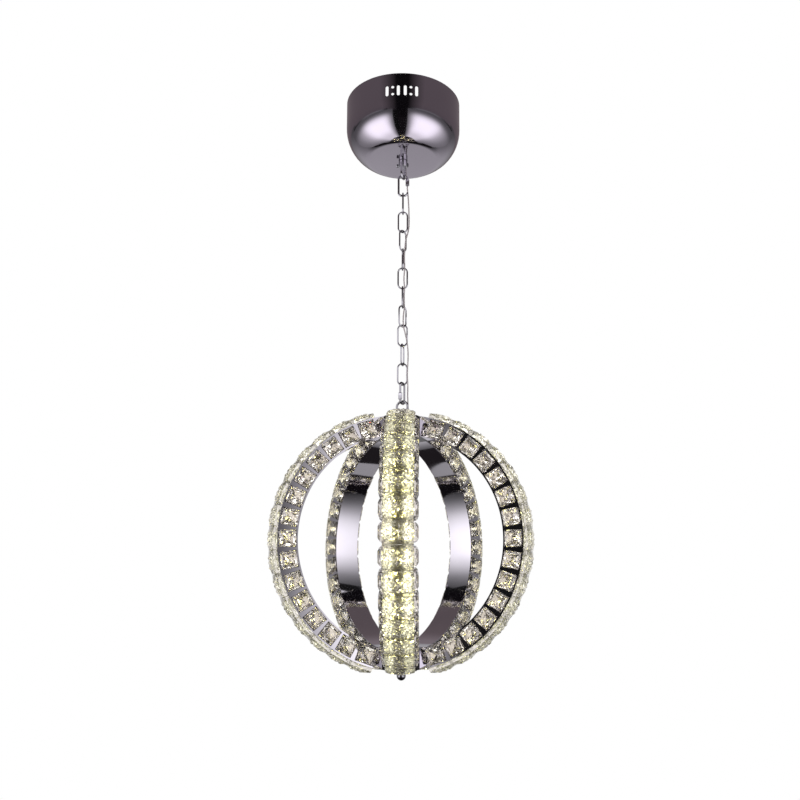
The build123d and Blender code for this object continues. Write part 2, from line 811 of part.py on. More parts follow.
save("globe_eye", globe_eye())
save("stud_nuts", *stud_nuts())
save("top_hub", in_globe(hub(True)))
save("top_hub_cap", in_globe(hub_cap(True)))
save("bottom_hub", in_globe(flipped(hub(False))))
save("bottom_hub_cap", in_globe(flipped(hub_cap(False))))
save("hub_cap_screws", *cap_screws())
save("rib_screws", *rib_screws())
save("cord_grommet", cord_grommet())
save("lead_connector", lead_connector())
save("rib_leads", *rib_leads())
save("finial_ball", finial_ball())

for number, turn in enumerate(rib_turns):
    save(f"rib_{number + 1}_frame", rib_frame(turn))
    save(f"rib_{number + 1}_cheek_crystals", *cheek_crystals(turn))
    save(f"rib_{number + 1}_outer_crystals", *outer_crystals(turn))
save("led_strips", *[led_strip(turn) for turn in rib_turns])
save("rib_cover_strips", *[rib_cover(turn) for turn in rib_turns])
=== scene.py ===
# Crystal globe chandelier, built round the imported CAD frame. Everything is in metres in the CAD's frame:
# the origin is the middle of the ceiling bracket's upper face, +Z is up and the front rib faces -Y.
import math
import random

import bmesh
import bpy
from mathutils import Matrix, Vector


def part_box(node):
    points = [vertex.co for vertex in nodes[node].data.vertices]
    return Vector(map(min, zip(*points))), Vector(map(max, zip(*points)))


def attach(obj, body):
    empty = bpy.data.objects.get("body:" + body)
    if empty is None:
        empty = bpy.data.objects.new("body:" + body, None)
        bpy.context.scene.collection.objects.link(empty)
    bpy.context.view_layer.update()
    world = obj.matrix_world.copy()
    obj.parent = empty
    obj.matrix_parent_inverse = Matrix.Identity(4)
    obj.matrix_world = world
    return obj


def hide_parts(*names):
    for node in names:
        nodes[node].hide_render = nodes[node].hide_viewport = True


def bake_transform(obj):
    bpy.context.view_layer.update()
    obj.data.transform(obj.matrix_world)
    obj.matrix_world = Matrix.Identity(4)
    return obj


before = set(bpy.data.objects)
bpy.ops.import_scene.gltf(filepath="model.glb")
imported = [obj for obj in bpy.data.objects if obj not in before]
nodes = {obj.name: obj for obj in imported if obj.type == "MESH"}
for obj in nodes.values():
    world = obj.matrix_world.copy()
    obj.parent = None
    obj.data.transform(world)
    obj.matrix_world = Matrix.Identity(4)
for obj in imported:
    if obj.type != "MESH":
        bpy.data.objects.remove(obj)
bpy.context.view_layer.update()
MM = 0.001

# The camera stands level with the lower half of the globe and looks a little upwards, so that the cup's
# underside shows. The shift puts the lamp where the photograph has it.

def add_object(name, data):
    """A new object in the scene."""
    added = bpy.data.objects.new(name, data)
    bpy.context.scene.collection.objects.link(added)
    return added


camera_data = bpy.data.cameras.new("camera")
camera_data.sensor_width = 36.0
camera_data.lens = 37.99
camera_data.shift_x = -0.0297
camera_data.shift_y = 0.1021
camera_data.clip_start = 0.01
camera = add_object("camera", camera_data)
camera.location = (0.0329, -1.2609, -0.7843)
camera.rotation_euler = (math.radians(90 + 7.99), 0, 0)
bpy.context.scene.camera = camera
bpy.context.scene.view_settings.view_transform = "Standard"


# The clear PVC cord feeds the LEDs. It leaves the grip in the cup's floor, runs down beside and through the
# chain and goes into the globe's grommet. It is one cord made of tubes end to end, one across each hinge of
# the chain.

def linear(hex_colour):
    """An sRGB hex colour as the linear RGBA of a shader socket."""
    shades = [int(hex_colour[place:place + 2], 16) / 255 for place in (1, 3, 5)]
    return tuple(s / 12.92 if s <= 0.04045 else ((s + 0.055) / 1.055) ** 2.4 for s in shades) + (1.0,)


def add_node(tree, kind, settings, sockets):
    """A node with its settings, and its sockets set to values or linked to other nodes' outputs. The stops of
    a colour ramp are pairs of a place, from 0 to 1, and a hex colour or a share of white."""
    node = tree.nodes.new(kind)
    stops = settings.get("stops", ())
    for spot, tone in stops[1:-1]:
        node.color_ramp.elements.new(spot)
    for number, (spot, tone) in enumerate(stops):
        node.color_ramp.elements[number].position = spot
        node.color_ramp.elements[number].color = linear(tone) if isinstance(tone, str) else (tone, tone, tone, 1)
    for name, value in settings.items():
        if name != "stops":
            setattr(node, name, value)
    for name, value in sockets.items():
        if isinstance(value, bpy.types.NodeSocket):
            tree.links.new(value, node.inputs[name])
        else:
            node.inputs[name].default_value = value
    return node


def start_material(name):
    """A new material with the piece's own coordinates in it, and nothing else."""
    material = bpy.data.materials.new(name)
    material.use_nodes = True
    tree = material.node_tree
    tree.nodes.clear()
    place = add_node(tree, "ShaderNodeTexCoord", {}, {}).outputs["Object"]
    return material, tree, place


def finish_material(tree, shader):
    add_node(tree, "ShaderNodeOutputMaterial", {}, {"Surface": shader.outputs[0]})


def dress(piece, material):
    piece.data.materials.clear()
    piece.data.materials.append(material)


# Extruded clear PVC over two tinned copper strands: a greyish pink see-through skin with a soft gloss. Every
# pattern's scale is its repeats a metre. The strands' lay is 6 mm here, coarser than real, so that it shows.
clear_pvc, tree, place = start_material("clear_pvc_extruded")
lay = add_node(tree, "ShaderNodeTexWave", {"wave_type": "BANDS", "bands_direction": "Z"}, {
    "Vector": place, "Scale": 160.0, "Distortion": 2.0, "Detail": 1.0})
tone = add_node(tree, "ShaderNodeValToRGB", {"stops": ((0, "#8a7f80"), (1, "#cfc5c6"))}, {
    "Fac": lay.outputs["Fac"]})
ridges = add_node(tree, "ShaderNodeBump", {}, {
    "Height": lay.outputs["Fac"], "Strength": 0.15, "Distance": 0.2 * MM})
shader = add_node(tree, "ShaderNodeBsdfPrincipled", {}, {
    "Base Color": tone.outputs["Color"], "Roughness": 0.22, "IOR": 1.53, "Transmission Weight": 0.45,
    "Normal": ridges.outputs["Normal"]})
finish_material(tree, shader)

cord_radius = 1.0 * MM
cord_route = [
    (0.0040, 0.0120, -0.0830),
    (0.0040, 0.0120, -0.1070),
    (0.0058, 0.0086, -0.1210),
    (0.0068, 0.0062, -0.1360),
    (0.0083, 0.0038, -0.1520),
    (0.0092, 0.0026, -0.1700),
    (0.0098, 0.0031, -0.1880),
    (0.0094, 0.0024, -0.2060),
    (0.0046, -0.0012, -0.2240),
    (0.0031, -0.0014, -0.2410),
    (0.0024, -0.0026, -0.2560),
    (0.0034, -0.0036, -0.2720),
    (0.0016, -0.0037, -0.2880),
    (0.0032, -0.0037, -0.3040),
    (0.0022, -0.0022, -0.3190),
    (0.0031, -0.0015, -0.3340),
    (0.0009, -0.0023, -0.3500),
    (0.0013, -0.0036, -0.3660),
    (0.0054, -0.0041, -0.3810),
    (0.0080, -0.0039, -0.3960),
    (0.0090, -0.0026, -0.4110),
    (0.0083, -0.0035, -0.4270),
    (0.0074, -0.0037, -0.4430),
    (0.0086, -0.0026, -0.4590),
    (0.0081, 0.0004, -0.4740),
    (0.0088, 0.0026, -0.4890),
    (0.0090, 0.0032, -0.5025),
    (0.0090, 0.0032, -0.5220),
]


def line_points(name, route, resolution):
    """Points along the smooth line that has the route's points as control points."""
    data = bpy.data.curves.new(name, "CURVE")
    data.dimensions = "3D"
    data.resolution_u = resolution
    spline = data.splines.new("NURBS")
    spline.points.add(len(route) - 1)
    for point, spot in zip(spline.points, route):
        point.co = (*spot, 1.0)
    spline.order_u = 3
    spline.use_endpoint_u = True
    line = add_object(name, data)
    bpy.context.view_layer.update()
    mesh = bpy.data.meshes.new_from_object(line.evaluated_get(bpy.context.evaluated_depsgraph_get()))
    points = [vertex.co.copy() for vertex in mesh.vertices]
    bpy.data.objects.remove(line)
    bpy.data.meshes.remove(mesh)
    return points


def tube_along(name, points, radius, sides):
    """Closed round tube whose middle follows the points."""
    shape = bmesh.new()
    rings = []
    side_way = Vector((1, 0, 0))
    for number, point in enumerate(points):
        ahead = points[min(number + 1, len(points) - 1)] - points[max(number - 1, 0)]
        ahead.normalize()
        side_way = (side_way - ahead * side_way.dot(ahead)).normalized()
        up_way = ahead.cross(side_way)
        ring = []
        for side in range(sides):
            angle = 2 * math.pi * side / sides
            outwards = math.cos(angle) * side_way + math.sin(angle) * up_way
            ring.append(shape.verts.new(point + radius * outwards))
        rings.append(ring)
    for low, high in zip(rings, rings[1:]):
        for side in range(sides):
            shape.faces.new((low[side], low[(side + 1) % sides], high[(side + 1) % sides], high[side]))
    shape.faces.new(list(reversed(rings[0])))
    shape.faces.new(rings[-1])
    bmesh.ops.recalc_face_normals(shape, faces=shape.faces)
    data = bpy.data.meshes.new(name)
    shape.to_mesh(data)
    shape.free()
    for face in data.polygons:
        face.use_smooth = len(face.vertices) == 4
    return add_object(name, data)


# Each stretch lies between two bodies that share a hinge, and runs from one cut to the next with the hinge
# between. The cuts lie about halfway between the hinges.
chain_bodies = [f"link_{number:02d}" for number in range(1, 11)]
cord_bodies = ["canopy", "upper_link", *chain_bodies, "lower_link", "globe"]
link_pitch = 30.8 * MM
cord_top, cord_bottom = cord_route[0][2], cord_route[-1][2]
upper_cut = -134.0 * MM
chain_cut = -164.05 * MM
lower_cut = -471.0 * MM
cord_cuts = [
    cord_top, upper_cut, *(chain_cut - link_pitch * number for number in range(10)), lower_cut, cord_bottom]
point_clearance = 0.4 * MM
cord_line = line_points("cord_line", cord_route, resolution=16)


def cord_point(level):
    """The cord's middle at a height, between the two nearest points of its line."""
    for above, below in zip(cord_line, cord_line[1:]):
        if below.z <= level <= above.z:
            return above.lerp(below, (above.z - level) / (above.z - below.z))
    return cord_line[-1] if level < cord_line[-1].z else cord_line[0]


for number, (body_above, body_below) in enumerate(zip(cord_bodies, cord_bodies[1:])):
    top, bottom = cord_cuts[number], cord_cuts[number + 1]
    inner = [point for point in cord_line if bottom + point_clearance < point.z < top - point_clearance]
    stretch = [cord_point(top), *inner, cord_point(bottom)]
    tube = tube_along(f"clear_cord_{number + 1:02d}", stretch, cord_radius, sides=12)
    dress(tube, clear_pvc)
    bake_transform(tube)
    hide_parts("power_cord")


# The ceiling bracket, its nuts, washer and screws, and the driver tray are pressed and turned steel, zinc
# plated in a barrel. They stay as the CAD has them.

# Barrel zinc plating: pale bluish grey metal with clouds of 8 mm and a grain of 0.7 mm from tumbling, which
# is drawn coarser than real.
zinc_steel, tree, place = start_material("steel_zinc_plated")
cloud = add_node(tree, "ShaderNodeTexNoise", {}, {"Vector": place, "Scale": 120.0, "Detail": 3.0})
grain = add_node(tree, "ShaderNodeTexNoise", {}, {"Vector": place, "Scale": 1500.0, "Detail": 1.0})
tone = add_node(tree, "ShaderNodeValToRGB", {"stops": ((0, "#9ea3aa"), (1, "#c9ccd0"))}, {
    "Fac": cloud.outputs["Fac"]})
skin = add_node(tree, "ShaderNodeBump", {}, {
    "Height": grain.outputs["Fac"], "Strength": 0.06, "Distance": 0.2 * MM})
shader = add_node(tree, "ShaderNodeBsdfPrincipled", {}, {
    "Base Color": tone.outputs["Color"], "Metallic": 1.0, "Roughness": 0.34, "Normal": skin.outputs["Normal"]})
finish_material(tree, shader)
for name in ("ceiling_bracket", "centre_nipple", "nipple_nuts", "nipple_washer", "earth_screw", "driver_tray",
             "driver_screws", "terminal_screws", "rib_screws", "stud_nuts"):
    dress(nodes[name], zinc_steel)


# The LED driver, the terminal block and the lead connector are white moulded plastic, and the leads between
# them are PVC. They are hidden in the cup and the top hub.

def grained(name, scale, detail, dark, light, strength, depth, finish):
    """A material with one grain, which is in its two tones and in its relief, and the finish of its skin."""
    material, tree, place = start_material(name)
    grain = add_node(tree, "ShaderNodeTexNoise", {}, {"Vector": place, "Scale": scale, "Detail": detail})
    tone = add_node(tree, "ShaderNodeValToRGB", {"stops": ((0, dark), (1, light))}, {"Fac": grain.outputs["Fac"]})
    skin = add_node(tree, "ShaderNodeBump", {}, {
        "Height": grain.outputs["Fac"], "Strength": strength, "Distance": depth})
    finish_material(tree, add_node(tree, "ShaderNodeBsdfPrincipled", {}, {
        "Base Color": tone.outputs["Color"], "Normal": skin.outputs["Normal"], **finish}))
    return material


# Injection moulded white ABS: a fine spark-eroded texture of 0.2 mm.
white_abs = grained("abs_white_moulded", 5000.0, 1.0, "#dedcd6", "#efeeea", 0.08, 0.1 * MM, {
    "Roughness": 0.45, "IOR": 1.53})
for name in ("led_driver", "terminal_block", "lead_connector"):
    dress(nodes[name], white_abs)

# Extruded PVC over stranded wire: a smooth red-brown skin that shows the strands' 2 mm twist faintly.
lead_pvc, tree, place = start_material("pvc_lead_extruded")
twist = add_node(tree, "ShaderNodeTexWave", {"wave_type": "BANDS", "bands_direction": "DIAGONAL"}, {
    "Vector": place, "Scale": 500.0, "Distortion": 1.0})
tone = add_node(tree, "ShaderNodeValToRGB", {"stops": ((0, "#b9332b"), (1, "#c53c33"))}, {
    "Fac": twist.outputs["Fac"]})
ridges = add_node(tree, "ShaderNodeBump", {}, {
    "Height": twist.outputs["Fac"], "Strength": 0.1, "Distance": 0.1 * MM})
shader = add_node(tree, "ShaderNodeBsdfPrincipled", {}, {
    "Base Color": tone.outputs["Color"], "Roughness": 0.38, "IOR": 1.53, "Normal": ridges.outputs["Normal"]})
finish_material(tree, shader)
for name in ("driver_leads", "rib_leads"):
    dress(nodes[name], lead_pvc)

# Moulded black nylon of the cord grip and the grommet: half matt with a fine grain of 0.25 mm.
black_nylon = grained("nylon_black_moulded", 4000.0, 1.0, "#1c1b1c", "#2b2a2b", 0.1, 0.1 * MM, {
    "Roughness": 0.42, "IOR": 1.53})
for name in ("cord_grip", "cord_grommet"):
    dress(nodes[name], black_nylon)


# The ceiling cup is spun from 1 mm steel, pierced with two groups of vent slots and plated with smoked
# chrome, which is a dark violet-grey mirror.

def clouded_mirror(name, scale, dark, light, clear, hazy):
    """A polished metal whose tone and roughness change together over the clouds that polishing leaves."""
    material, tree, place = start_material(name)
    cloud = add_node(tree, "ShaderNodeTexNoise", {}, {"Vector": place, "Scale": scale, "Detail": 2.0})
    tone = add_node(tree, "ShaderNodeValToRGB", {"stops": ((0, dark), (1, light))}, {"Fac": cloud.outputs["Fac"]})
    haze = add_node(tree, "ShaderNodeMapRange", {}, {
        "Value": cloud.outputs["Fac"], "To Min": clear, "To Max": hazy})
    finish_material(tree, add_node(tree, "ShaderNodeBsdfPrincipled", {}, {
        "Base Color": tone.outputs["Color"], "Metallic": 1.0, "Roughness": haze.outputs["Result"]}))
    return material


# Smoked chrome: a mirror that returns about a third of the light, with a faint haze in clouds of 110 mm.
smoked_chrome = clouded_mirror("steel_spun_smoked_chrome", 9.0, "#958f99", "#a39da7", clear=0.06, hazy=0.11)


def deselect():
    """Leaves edit mode and selects nothing."""
    if bpy.context.object and bpy.context.object.mode != "OBJECT":
        bpy.ops.object.mode_set(mode="OBJECT")
    bpy.ops.object.select_all(action="DESELECT")


def edit():
    bpy.ops.object.mode_set(mode="EDIT")


def place_mesh():
    """Puts the active piece's place and turn into its mesh."""
    bpy.ops.object.transform_apply(location=True, rotation=True)


def pick(wanted, part="VERT"):
    """In edit mode, selects only the vertices, edges or faces that wanted says."""
    bpy.ops.mesh.select_mode(type=part)
    bpy.ops.mesh.select_all(action="DESELECT")
    mesh = bmesh.from_edit_mesh(bpy.context.object.data)
    rows = {"VERT": mesh.verts, "EDGE": mesh.edges, "FACE": mesh.faces}[part]
    for item in rows:
        if wanted(item):
            item.select_set(True)
    mesh.select_flush_mode()
    bmesh.update_edit_mesh(bpy.context.object.data)


def move(*way):
    bpy.ops.transform.translate(value=way)


def pull(*way):
    bpy.ops.mesh.extrude_region_move(TRANSFORM_OT_translate={"value": way})


def widen(share):
    """Scales what is selected across, and leaves its height."""
    bpy.ops.transform.resize(value=(share, share, 1))


def apply_modifier(piece, kind, settings):
    modifier = piece.modifiers.new(kind, kind)
    for name, value in settings.items():
        setattr(modifier, name, value)
    bpy.context.view_layer.objects.active = piece
    bpy.ops.object.modifier_apply(modifier=modifier.name)


def join(pieces):
    """Joins the pieces into the first of them, which stays selected alone."""
    deselect()
    for piece in pieces:
        piece.select_set(True)
    bpy.context.view_layer.objects.active = pieces[0]
    bpy.ops.object.join()
    return bpy.context.object


def cut_away(piece, cutter):
    """Takes the cutter's space out of the piece, and removes the cutter."""
    deselect()
    piece.select_set(True)
    apply_modifier(piece, "BOOLEAN", {"operation": "DIFFERENCE", "solver": "EXACT", "object": cutter})
    bpy.data.objects.remove(cutter)


def settle(name, smooth_angle=30):
    """Ends the work on the active piece: closes seams, points faces outwards and puts its place in its mesh."""
    if bpy.context.object.mode != "EDIT":
        edit()
    bpy.ops.mesh.select_all(action="SELECT")
    bpy.ops.mesh.remove_doubles(threshold=1e-6)
    bpy.ops.mesh.normals_make_consistent(inside=False)
    bpy.ops.object.mode_set(mode="OBJECT")
    bpy.ops.object.transform_apply(location=True, rotation=True, scale=True)
    piece = bpy.context.object
    piece.name = name
    if smooth_angle:
        bpy.ops.object.shade_smooth_by_angle(angle=math.radians(smooth_angle))
    return piece


def fit(piece, material, body, node):
    """Dresses a piece, hangs it on its body and hides the CAD node that it stands for."""
    dress(piece, material)
    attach(piece, body)
    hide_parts(node)


canopy_radius = 90 * MM
canopy_height = 92 * MM
canopy_bend = 55 * MM
canopy_edge = 18 * MM
canopy_wall = 1 * MM
wall_steps = (12 * MM, 8 * MM, 16 * MM)
floor_radii = (34 * MM, 18 * MM, 5.05 * MM)
bend_angle = math.radians(62)
bend_drop = canopy_bend * math.sin(bend_angle) + canopy_edge * (1 - math.sin(bend_angle))
bend_turns = [(canopy_bend, bend_angle * step / 12, bend_angle * (step + 1) / 12) for step in range(12)]
rest_angle = math.pi / 2 - bend_angle
edge_turns = [(canopy_edge, bend_angle + rest_angle * step / 6, bend_angle + rest_angle * (step + 1) / 6)
              for step in range(6)]

# The cup is drawn down ring by ring: the wall, its bend in two arcs, and the floor in to the threaded tube.
deselect()
bpy.ops.mesh.primitive_circle_add(vertices=160, radius=canopy_radius, location=(0, 0, 0))
edit()
bpy.ops.mesh.select_all(action="SELECT")
for drop in (*wall_steps, canopy_height - bend_drop - sum(wall_steps)):
    pull(0, 0, -drop)
ring_radius = canopy_radius
for bend_radius, before, turn in bend_turns + edge_turns:
    next_radius = ring_radius - bend_radius * (math.cos(before) - math.cos(turn))
    pull(0, 0, -bend_radius * (math.sin(turn) - math.sin(before)))
    widen(next_radius / ring_radius)
    ring_radius = next_radius
for next_radius in floor_radii:
    pull(0, 0, 0)
    widen(next_radius / ring_radius)
    ring_radius = next_radius
cup = settle("ceiling_cup")
apply_modifier(cup, "SOLIDIFY", {"thickness": canopy_wall, "offset": -1.0, "use_even_offset": True})

slot_width = 4.5 * MM
slot_height = 16.5 * MM
vent_level = -27.5 * MM
vent_places = [(x * MM, vent_level, slot_height) for x in (-22.2, -5.2, 5.2, 22.2)]
vent_places += [(x * MM, vent_level + rise * MM, slot_width) for x in (-13.7, 13.7) for rise in (-5.6, 5.6)]
punch_length = 50 * MM
punch_reach = 85 * MM
grip_hole = 3.1 * MM
hole_depth = 10 * MM
level_slack = 0.01 * MM
punches = []
for x, level, height in vent_places:
    for face in (-1, 1):
        deselect()
        bpy.ops.mesh.primitive_cylinder_add(vertices=24, radius=slot_width / 2, depth=punch_length,
                                            location=(x, face * punch_reach, level), rotation=(math.pi / 2, 0, 0))
        place_mesh()
        edit()
        pick(lambda vertex: vertex.co.z > level + level_slack)
        move(0, 0, (height - slot_width) / 2)
        pick(lambda vertex: vertex.co.z < level - level_slack)
        move(0, 0, -(height - slot_width) / 2)
        punches.append(bpy.context.object)
deselect()
bpy.ops.mesh.primitive_cylinder_add(vertices=32, radius=grip_hole, depth=hole_depth,
                                    location=(*cord_route[0][:2], canopy_wall / 2 - canopy_height))
punches.append(bpy.context.object)
cut_away(cup, join(punches))
bpy.ops.object.shade_smooth_by_angle(angle=math.radians(30))
fit(cup, smoked_chrome, "canopy", "canopy_shell")


# The hang loop is a turned collar on the threaded tube with a bent wire loop brazed to it, and a set screw
# with a round head locks it. All of it is bright chrome.

# Bright chrome on steel wire: a clear grey mirror with soft die marks of 3 mm, drawn coarser than real.
bright_chrome = grained("steel_wire_bright_chrome", 300.0, 2.0, "#8a888e", "#a5a3a9", 0.08, 0.3 * MM, {
    "Metallic": 1.0, "Roughness": 0.1})


def bend_wire(radius, start, moves, sides=16):
    """Leaves a bent round wire in edit mode. It starts as an upright rod's end at start and follows the moves:
    ("run", dx, dz) goes straight, and ("turn", cx, cz, degrees) goes round an upright bend about (cx, cz)."""
    deselect()
    bpy.ops.mesh.primitive_circle_add(vertices=sides, radius=radius, location=(start[0], 0, start[1]))
    place_mesh()
    edit()
    bpy.ops.mesh.select_all(action="SELECT")
    for kind, *sizes in moves:
        if kind == "run":
            pull(sizes[0], 0, sizes[1])
        else:
            steps = max(3, round(abs(sizes[2]) / 12))
            bpy.ops.mesh.spin(steps=steps, angle=math.radians(sizes[2]), center=(sizes[0], 0, sizes[1]),
                              axis=(0, -1, 0))


def close_ends():
    """Closes the open ends of the piece in edit mode."""
    pick(lambda edge: edge.is_boundary, "EDGE")
    bpy.ops.mesh.fill_holes(sides=0)


def break_edges(width, segments):
    """Rounds the sharp edges of the active piece."""
    apply_modifier(bpy.context.object, "BEVEL", {"width": width, "segments": segments, "limit_method": "ANGLE"})


def turn_round(piece, degrees):
    """Turns a finished piece about the lamp's axis, in its mesh."""
    piece.data.transform(Matrix.Rotation(math.radians(degrees), 4, "Z"))


collar_radius = 7 * MM
collar_bottom = -102 * MM
collar_height = 10 * MM
collar_middle = collar_bottom + collar_height / 2
loop_wire = 1.75 * MM
loop_half_width = 7.5 * MM
loop_bend = -113.75 * MM
loop_turn = 72
bend_wire(loop_wire, (loop_half_width, collar_middle), [
    ("run", 0, loop_bend - collar_middle), ("turn", 0, loop_bend, 180), ("run", 0, collar_middle - loop_bend)])
close_ends()
hook = settle("hang_loop_wire")
deselect()
bpy.ops.mesh.primitive_cylinder_add(vertices=48, radius=collar_radius, depth=collar_height,
                                    location=(0, 0, collar_middle))
place_mesh()
break_edges(0.8 * MM, 3)
join([bpy.context.object, hook])
hang_loop = settle("hang_loop_chromed")
turn_round(hang_loop, loop_turn)
fit(hang_loop, bright_chrome, "canopy", "hang_loop")

screw_head_radius = 2.6 * MM
screw_head_length = 3.2 * MM
screw_head_middle = -8.7 * MM
screw_level = -100 * MM
screw_rim = 0.8 * MM
recess_slope = 0.4 * MM
recess_depth = 0.6 * MM
deselect()
bpy.ops.mesh.primitive_cylinder_add(vertices=24, radius=screw_head_radius, depth=screw_head_length,
                                    location=(screw_head_middle, 0, screw_level), rotation=(0, math.pi / 2, 0))
place_mesh()
edit()
pick(lambda face: face.normal.x < -0.9, "FACE")
bpy.ops.mesh.inset(thickness=screw_rim)
bpy.ops.mesh.inset(thickness=recess_slope)
move(recess_depth, 0, 0)
bpy.ops.object.mode_set(mode="OBJECT")
break_edges(0.5 * MM, 2)
fit(settle("hang_loop_screw"), bright_chrome, "canopy", "loop_set_screw")


# A quick link is a rounded rectangle of 3.2 mm wire with a gap in one leg, which a hexagon sleeve nut
# closes. One hangs in the hang loop and one holds the globe's eye.

quick_wire = 1.6 * MM
quick_inner = 29.3 * MM
quick_half_width = 7.0 * MM
quick_corner = 5.0 * MM
quick_gap = 5.0 * MM
sleeve_corner_radius = 3.41 * MM
sleeve_length = 10.0 * MM


def quick_link(name, inner_top, yaw, side, sleeve_top, body):
    """The open wire of a quick link. Its gap is at the middle of the sleeve, on the leg that side names."""
    top = inner_top + quick_wire
    bottom = top - quick_inner - 2 * quick_wire
    high, low = top - quick_corner, bottom + quick_corner
    gap_middle = sleeve_top - sleeve_length / 2
    across = quick_half_width - quick_corner
    bend_wire(quick_wire, (quick_half_width, gap_middle - quick_gap / 2), [
        ("run", 0, low - gap_middle + quick_gap / 2), ("turn", across, low, 90), ("run", -2 * across, 0),
        ("turn", -across, low, 90), ("run", 0, high - low), ("turn", -across, high, 90),
        ("run", 2 * across, 0), ("turn", across, high, 90), ("run", 0, gap_middle + quick_gap / 2 - high)])
    close_ends()
    link = settle(name)
    if side < 0:
        turn_round(link, 180)
    turn_round(link, yaw)
    fit(link, bright_chrome, body, f"{body.split('_')[0]}_quick_link")


def sleeve_nut(name, yaw, side, sleeve_top, body):
    """The hexagon nut that closes a quick link, chamfered at both ends and at its corners."""
    deselect()
    bpy.ops.mesh.primitive_cylinder_add(vertices=6, radius=sleeve_corner_radius, depth=sleeve_length,
                                        location=(side * quick_half_width, 0, sleeve_top - sleeve_length / 2))
    place_mesh()
    break_edges(0.5 * MM, 2)
    nut = settle(name)
    turn_round(nut, yaw)
    fit(nut, bright_chrome, body, f"{body.split('_')[0]}_sleeve_nut")


for end, inner_top, yaw, side in (("upper", -119.2 * MM, 0, 1), ("lower", -456.2 * MM, 65, -1)):
    sleeve_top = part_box(f"{end}_sleeve_nut")[1].z
    quick_link(f"quick_link_{end}", inner_top, yaw, side, sleeve_top, f"{end}_link")
    sleeve_nut(f"quick_link_{end}_nut", yaw, side, sleeve_top, f"{end}_nut")


# The chain has ten links bent from 2.4 mm steel wire and butt welded on one leg, which leaves a low bead.
# Each hangs in the one above and is turned about the chain's line as the photograph shows it.

link_wire = 1.2 * MM
link_inner = 31.1 * MM
link_half_width = 7.1 * MM
link_yaws = (90.0, 0.0, 48.0, 96.0, 0.0, 88.0, 43.0, -2.0, 75.0, 0.0)
bead_half = 0.9 * MM
bead_width = 1.12
for number, yaw in enumerate(link_yaws):
    inner_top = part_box(f"chain_link_{number + 1:02d}")[1].z - 2 * link_wire
    high = inner_top + link_wire - link_half_width
    low = inner_top - link_inner - link_wire + link_half_width
    middle = (high + low) / 2
    bend_wire(link_wire, (link_half_width, middle), [
        ("run", 0, -bead_half), ("run", 0, low - middle + bead_half), ("turn", 0, low, 180),
        ("run", 0, high - low), ("turn", 0, high, 180), ("run", 0, middle + bead_half - high),
        ("run", 0, -bead_half)])
    bpy.ops.mesh.select_all(action="SELECT")
    bpy.ops.mesh.remove_doubles(threshold=1e-6)
    pick(lambda vertex: vertex.co.x > 0 and abs(vertex.co.z - middle) < level_slack)
    bpy.ops.transform.resize(value=(1.0, bead_width, 1.0))
    link = settle(f"chain_wire_link_{number + 1:02d}")
    turn_round(link, yaw)
    fit(link, bright_chrome, f"link_{number + 1:02d}", f"chain_link_{number + 1:02d}")


# The globe hangs by an eye with a collar that is screwed into the top hub, and a chrome ball with a short
# neck closes the bottom hub.

globe_centre = -697.89 * MM
rib_end_height = 185.19 * MM
hub_top = globe_centre + rib_end_height
hub_bottom = globe_centre - rib_end_height

eye_wire = 1.75 * MM
eye_inner = 7.0 * MM
eye_height = 27.5 * MM
eye_level = hub_top + eye_height - eye_inner
eye_yaw = -20
eye_collar_radius = 4.2 * MM
eye_collar_taper = 0.62
stud_radius = 2.9 * MM
stud_length = 10 * MM
deselect()
bpy.ops.mesh.primitive_torus_add(major_radius=eye_inner + eye_wire, minor_radius=eye_wire, major_segments=48,
                                 minor_segments=16, location=(0, 0, eye_level), rotation=(math.pi / 2, 0, 0))
place_mesh()
ring = bpy.context.object
collar_top = eye_level - eye_inner - eye_wire / 2
deselect()
bpy.ops.mesh.primitive_cylinder_add(vertices=40, radius=eye_collar_radius, depth=collar_top - hub_top,
                                    location=(0, 0, (collar_top + hub_top) / 2))
place_mesh()
edit()
pick(lambda face: face.normal.z > 0.9, "FACE")
widen(eye_collar_taper)
bpy.ops.object.mode_set(mode="OBJECT")
break_edges(0.6 * MM, 3)
eye_collar = bpy.context.object
deselect()
bpy.ops.mesh.primitive_cylinder_add(vertices=24, radius=stud_radius, depth=stud_length,
                                    location=(0, 0, hub_top - stud_length / 2))
place_mesh()
join([bpy.context.object, ring, eye_collar])
eye = settle("globe_eye_chromed")
turn_round(eye, eye_yaw)
fit(eye, bright_chrome, "globe", "globe_eye")

ball_radius = 6.8 * MM
neck_radius = 3.4 * MM
neck_low = hub_bottom - 5.6 * MM
neck_sunk = 2 * MM
deselect()
bpy.ops.mesh.primitive_uv_sphere_add(segments=40, ring_count=24, radius=ball_radius,
                                     location=(0, 0, neck_low - ball_radius + neck_radius / 2))
place_mesh()
ball = bpy.context.object
deselect()
bpy.ops.mesh.primitive_cylinder_add(vertices=32, radius=neck_radius, depth=hub_bottom - neck_low + neck_sunk,
                                    location=(0, 0, (hub_bottom + neck_low) / 2 - neck_sunk / 2))
place_mesh()
edit()
pick(lambda face: face.normal.z > 0.9, "FACE")
bpy.ops.mesh.inset(thickness=neck_radius - stud_radius)
pull(0, 0, stud_length)
join([bpy.context.object, ball])
fit(settle("finial_ball_chromed"), bright_chrome, "globe", "finial_ball")


# The two hubs are five-sided boxes of folded steel with screwed caps. They are powder coated black, and the
# cap screws are blackened too.

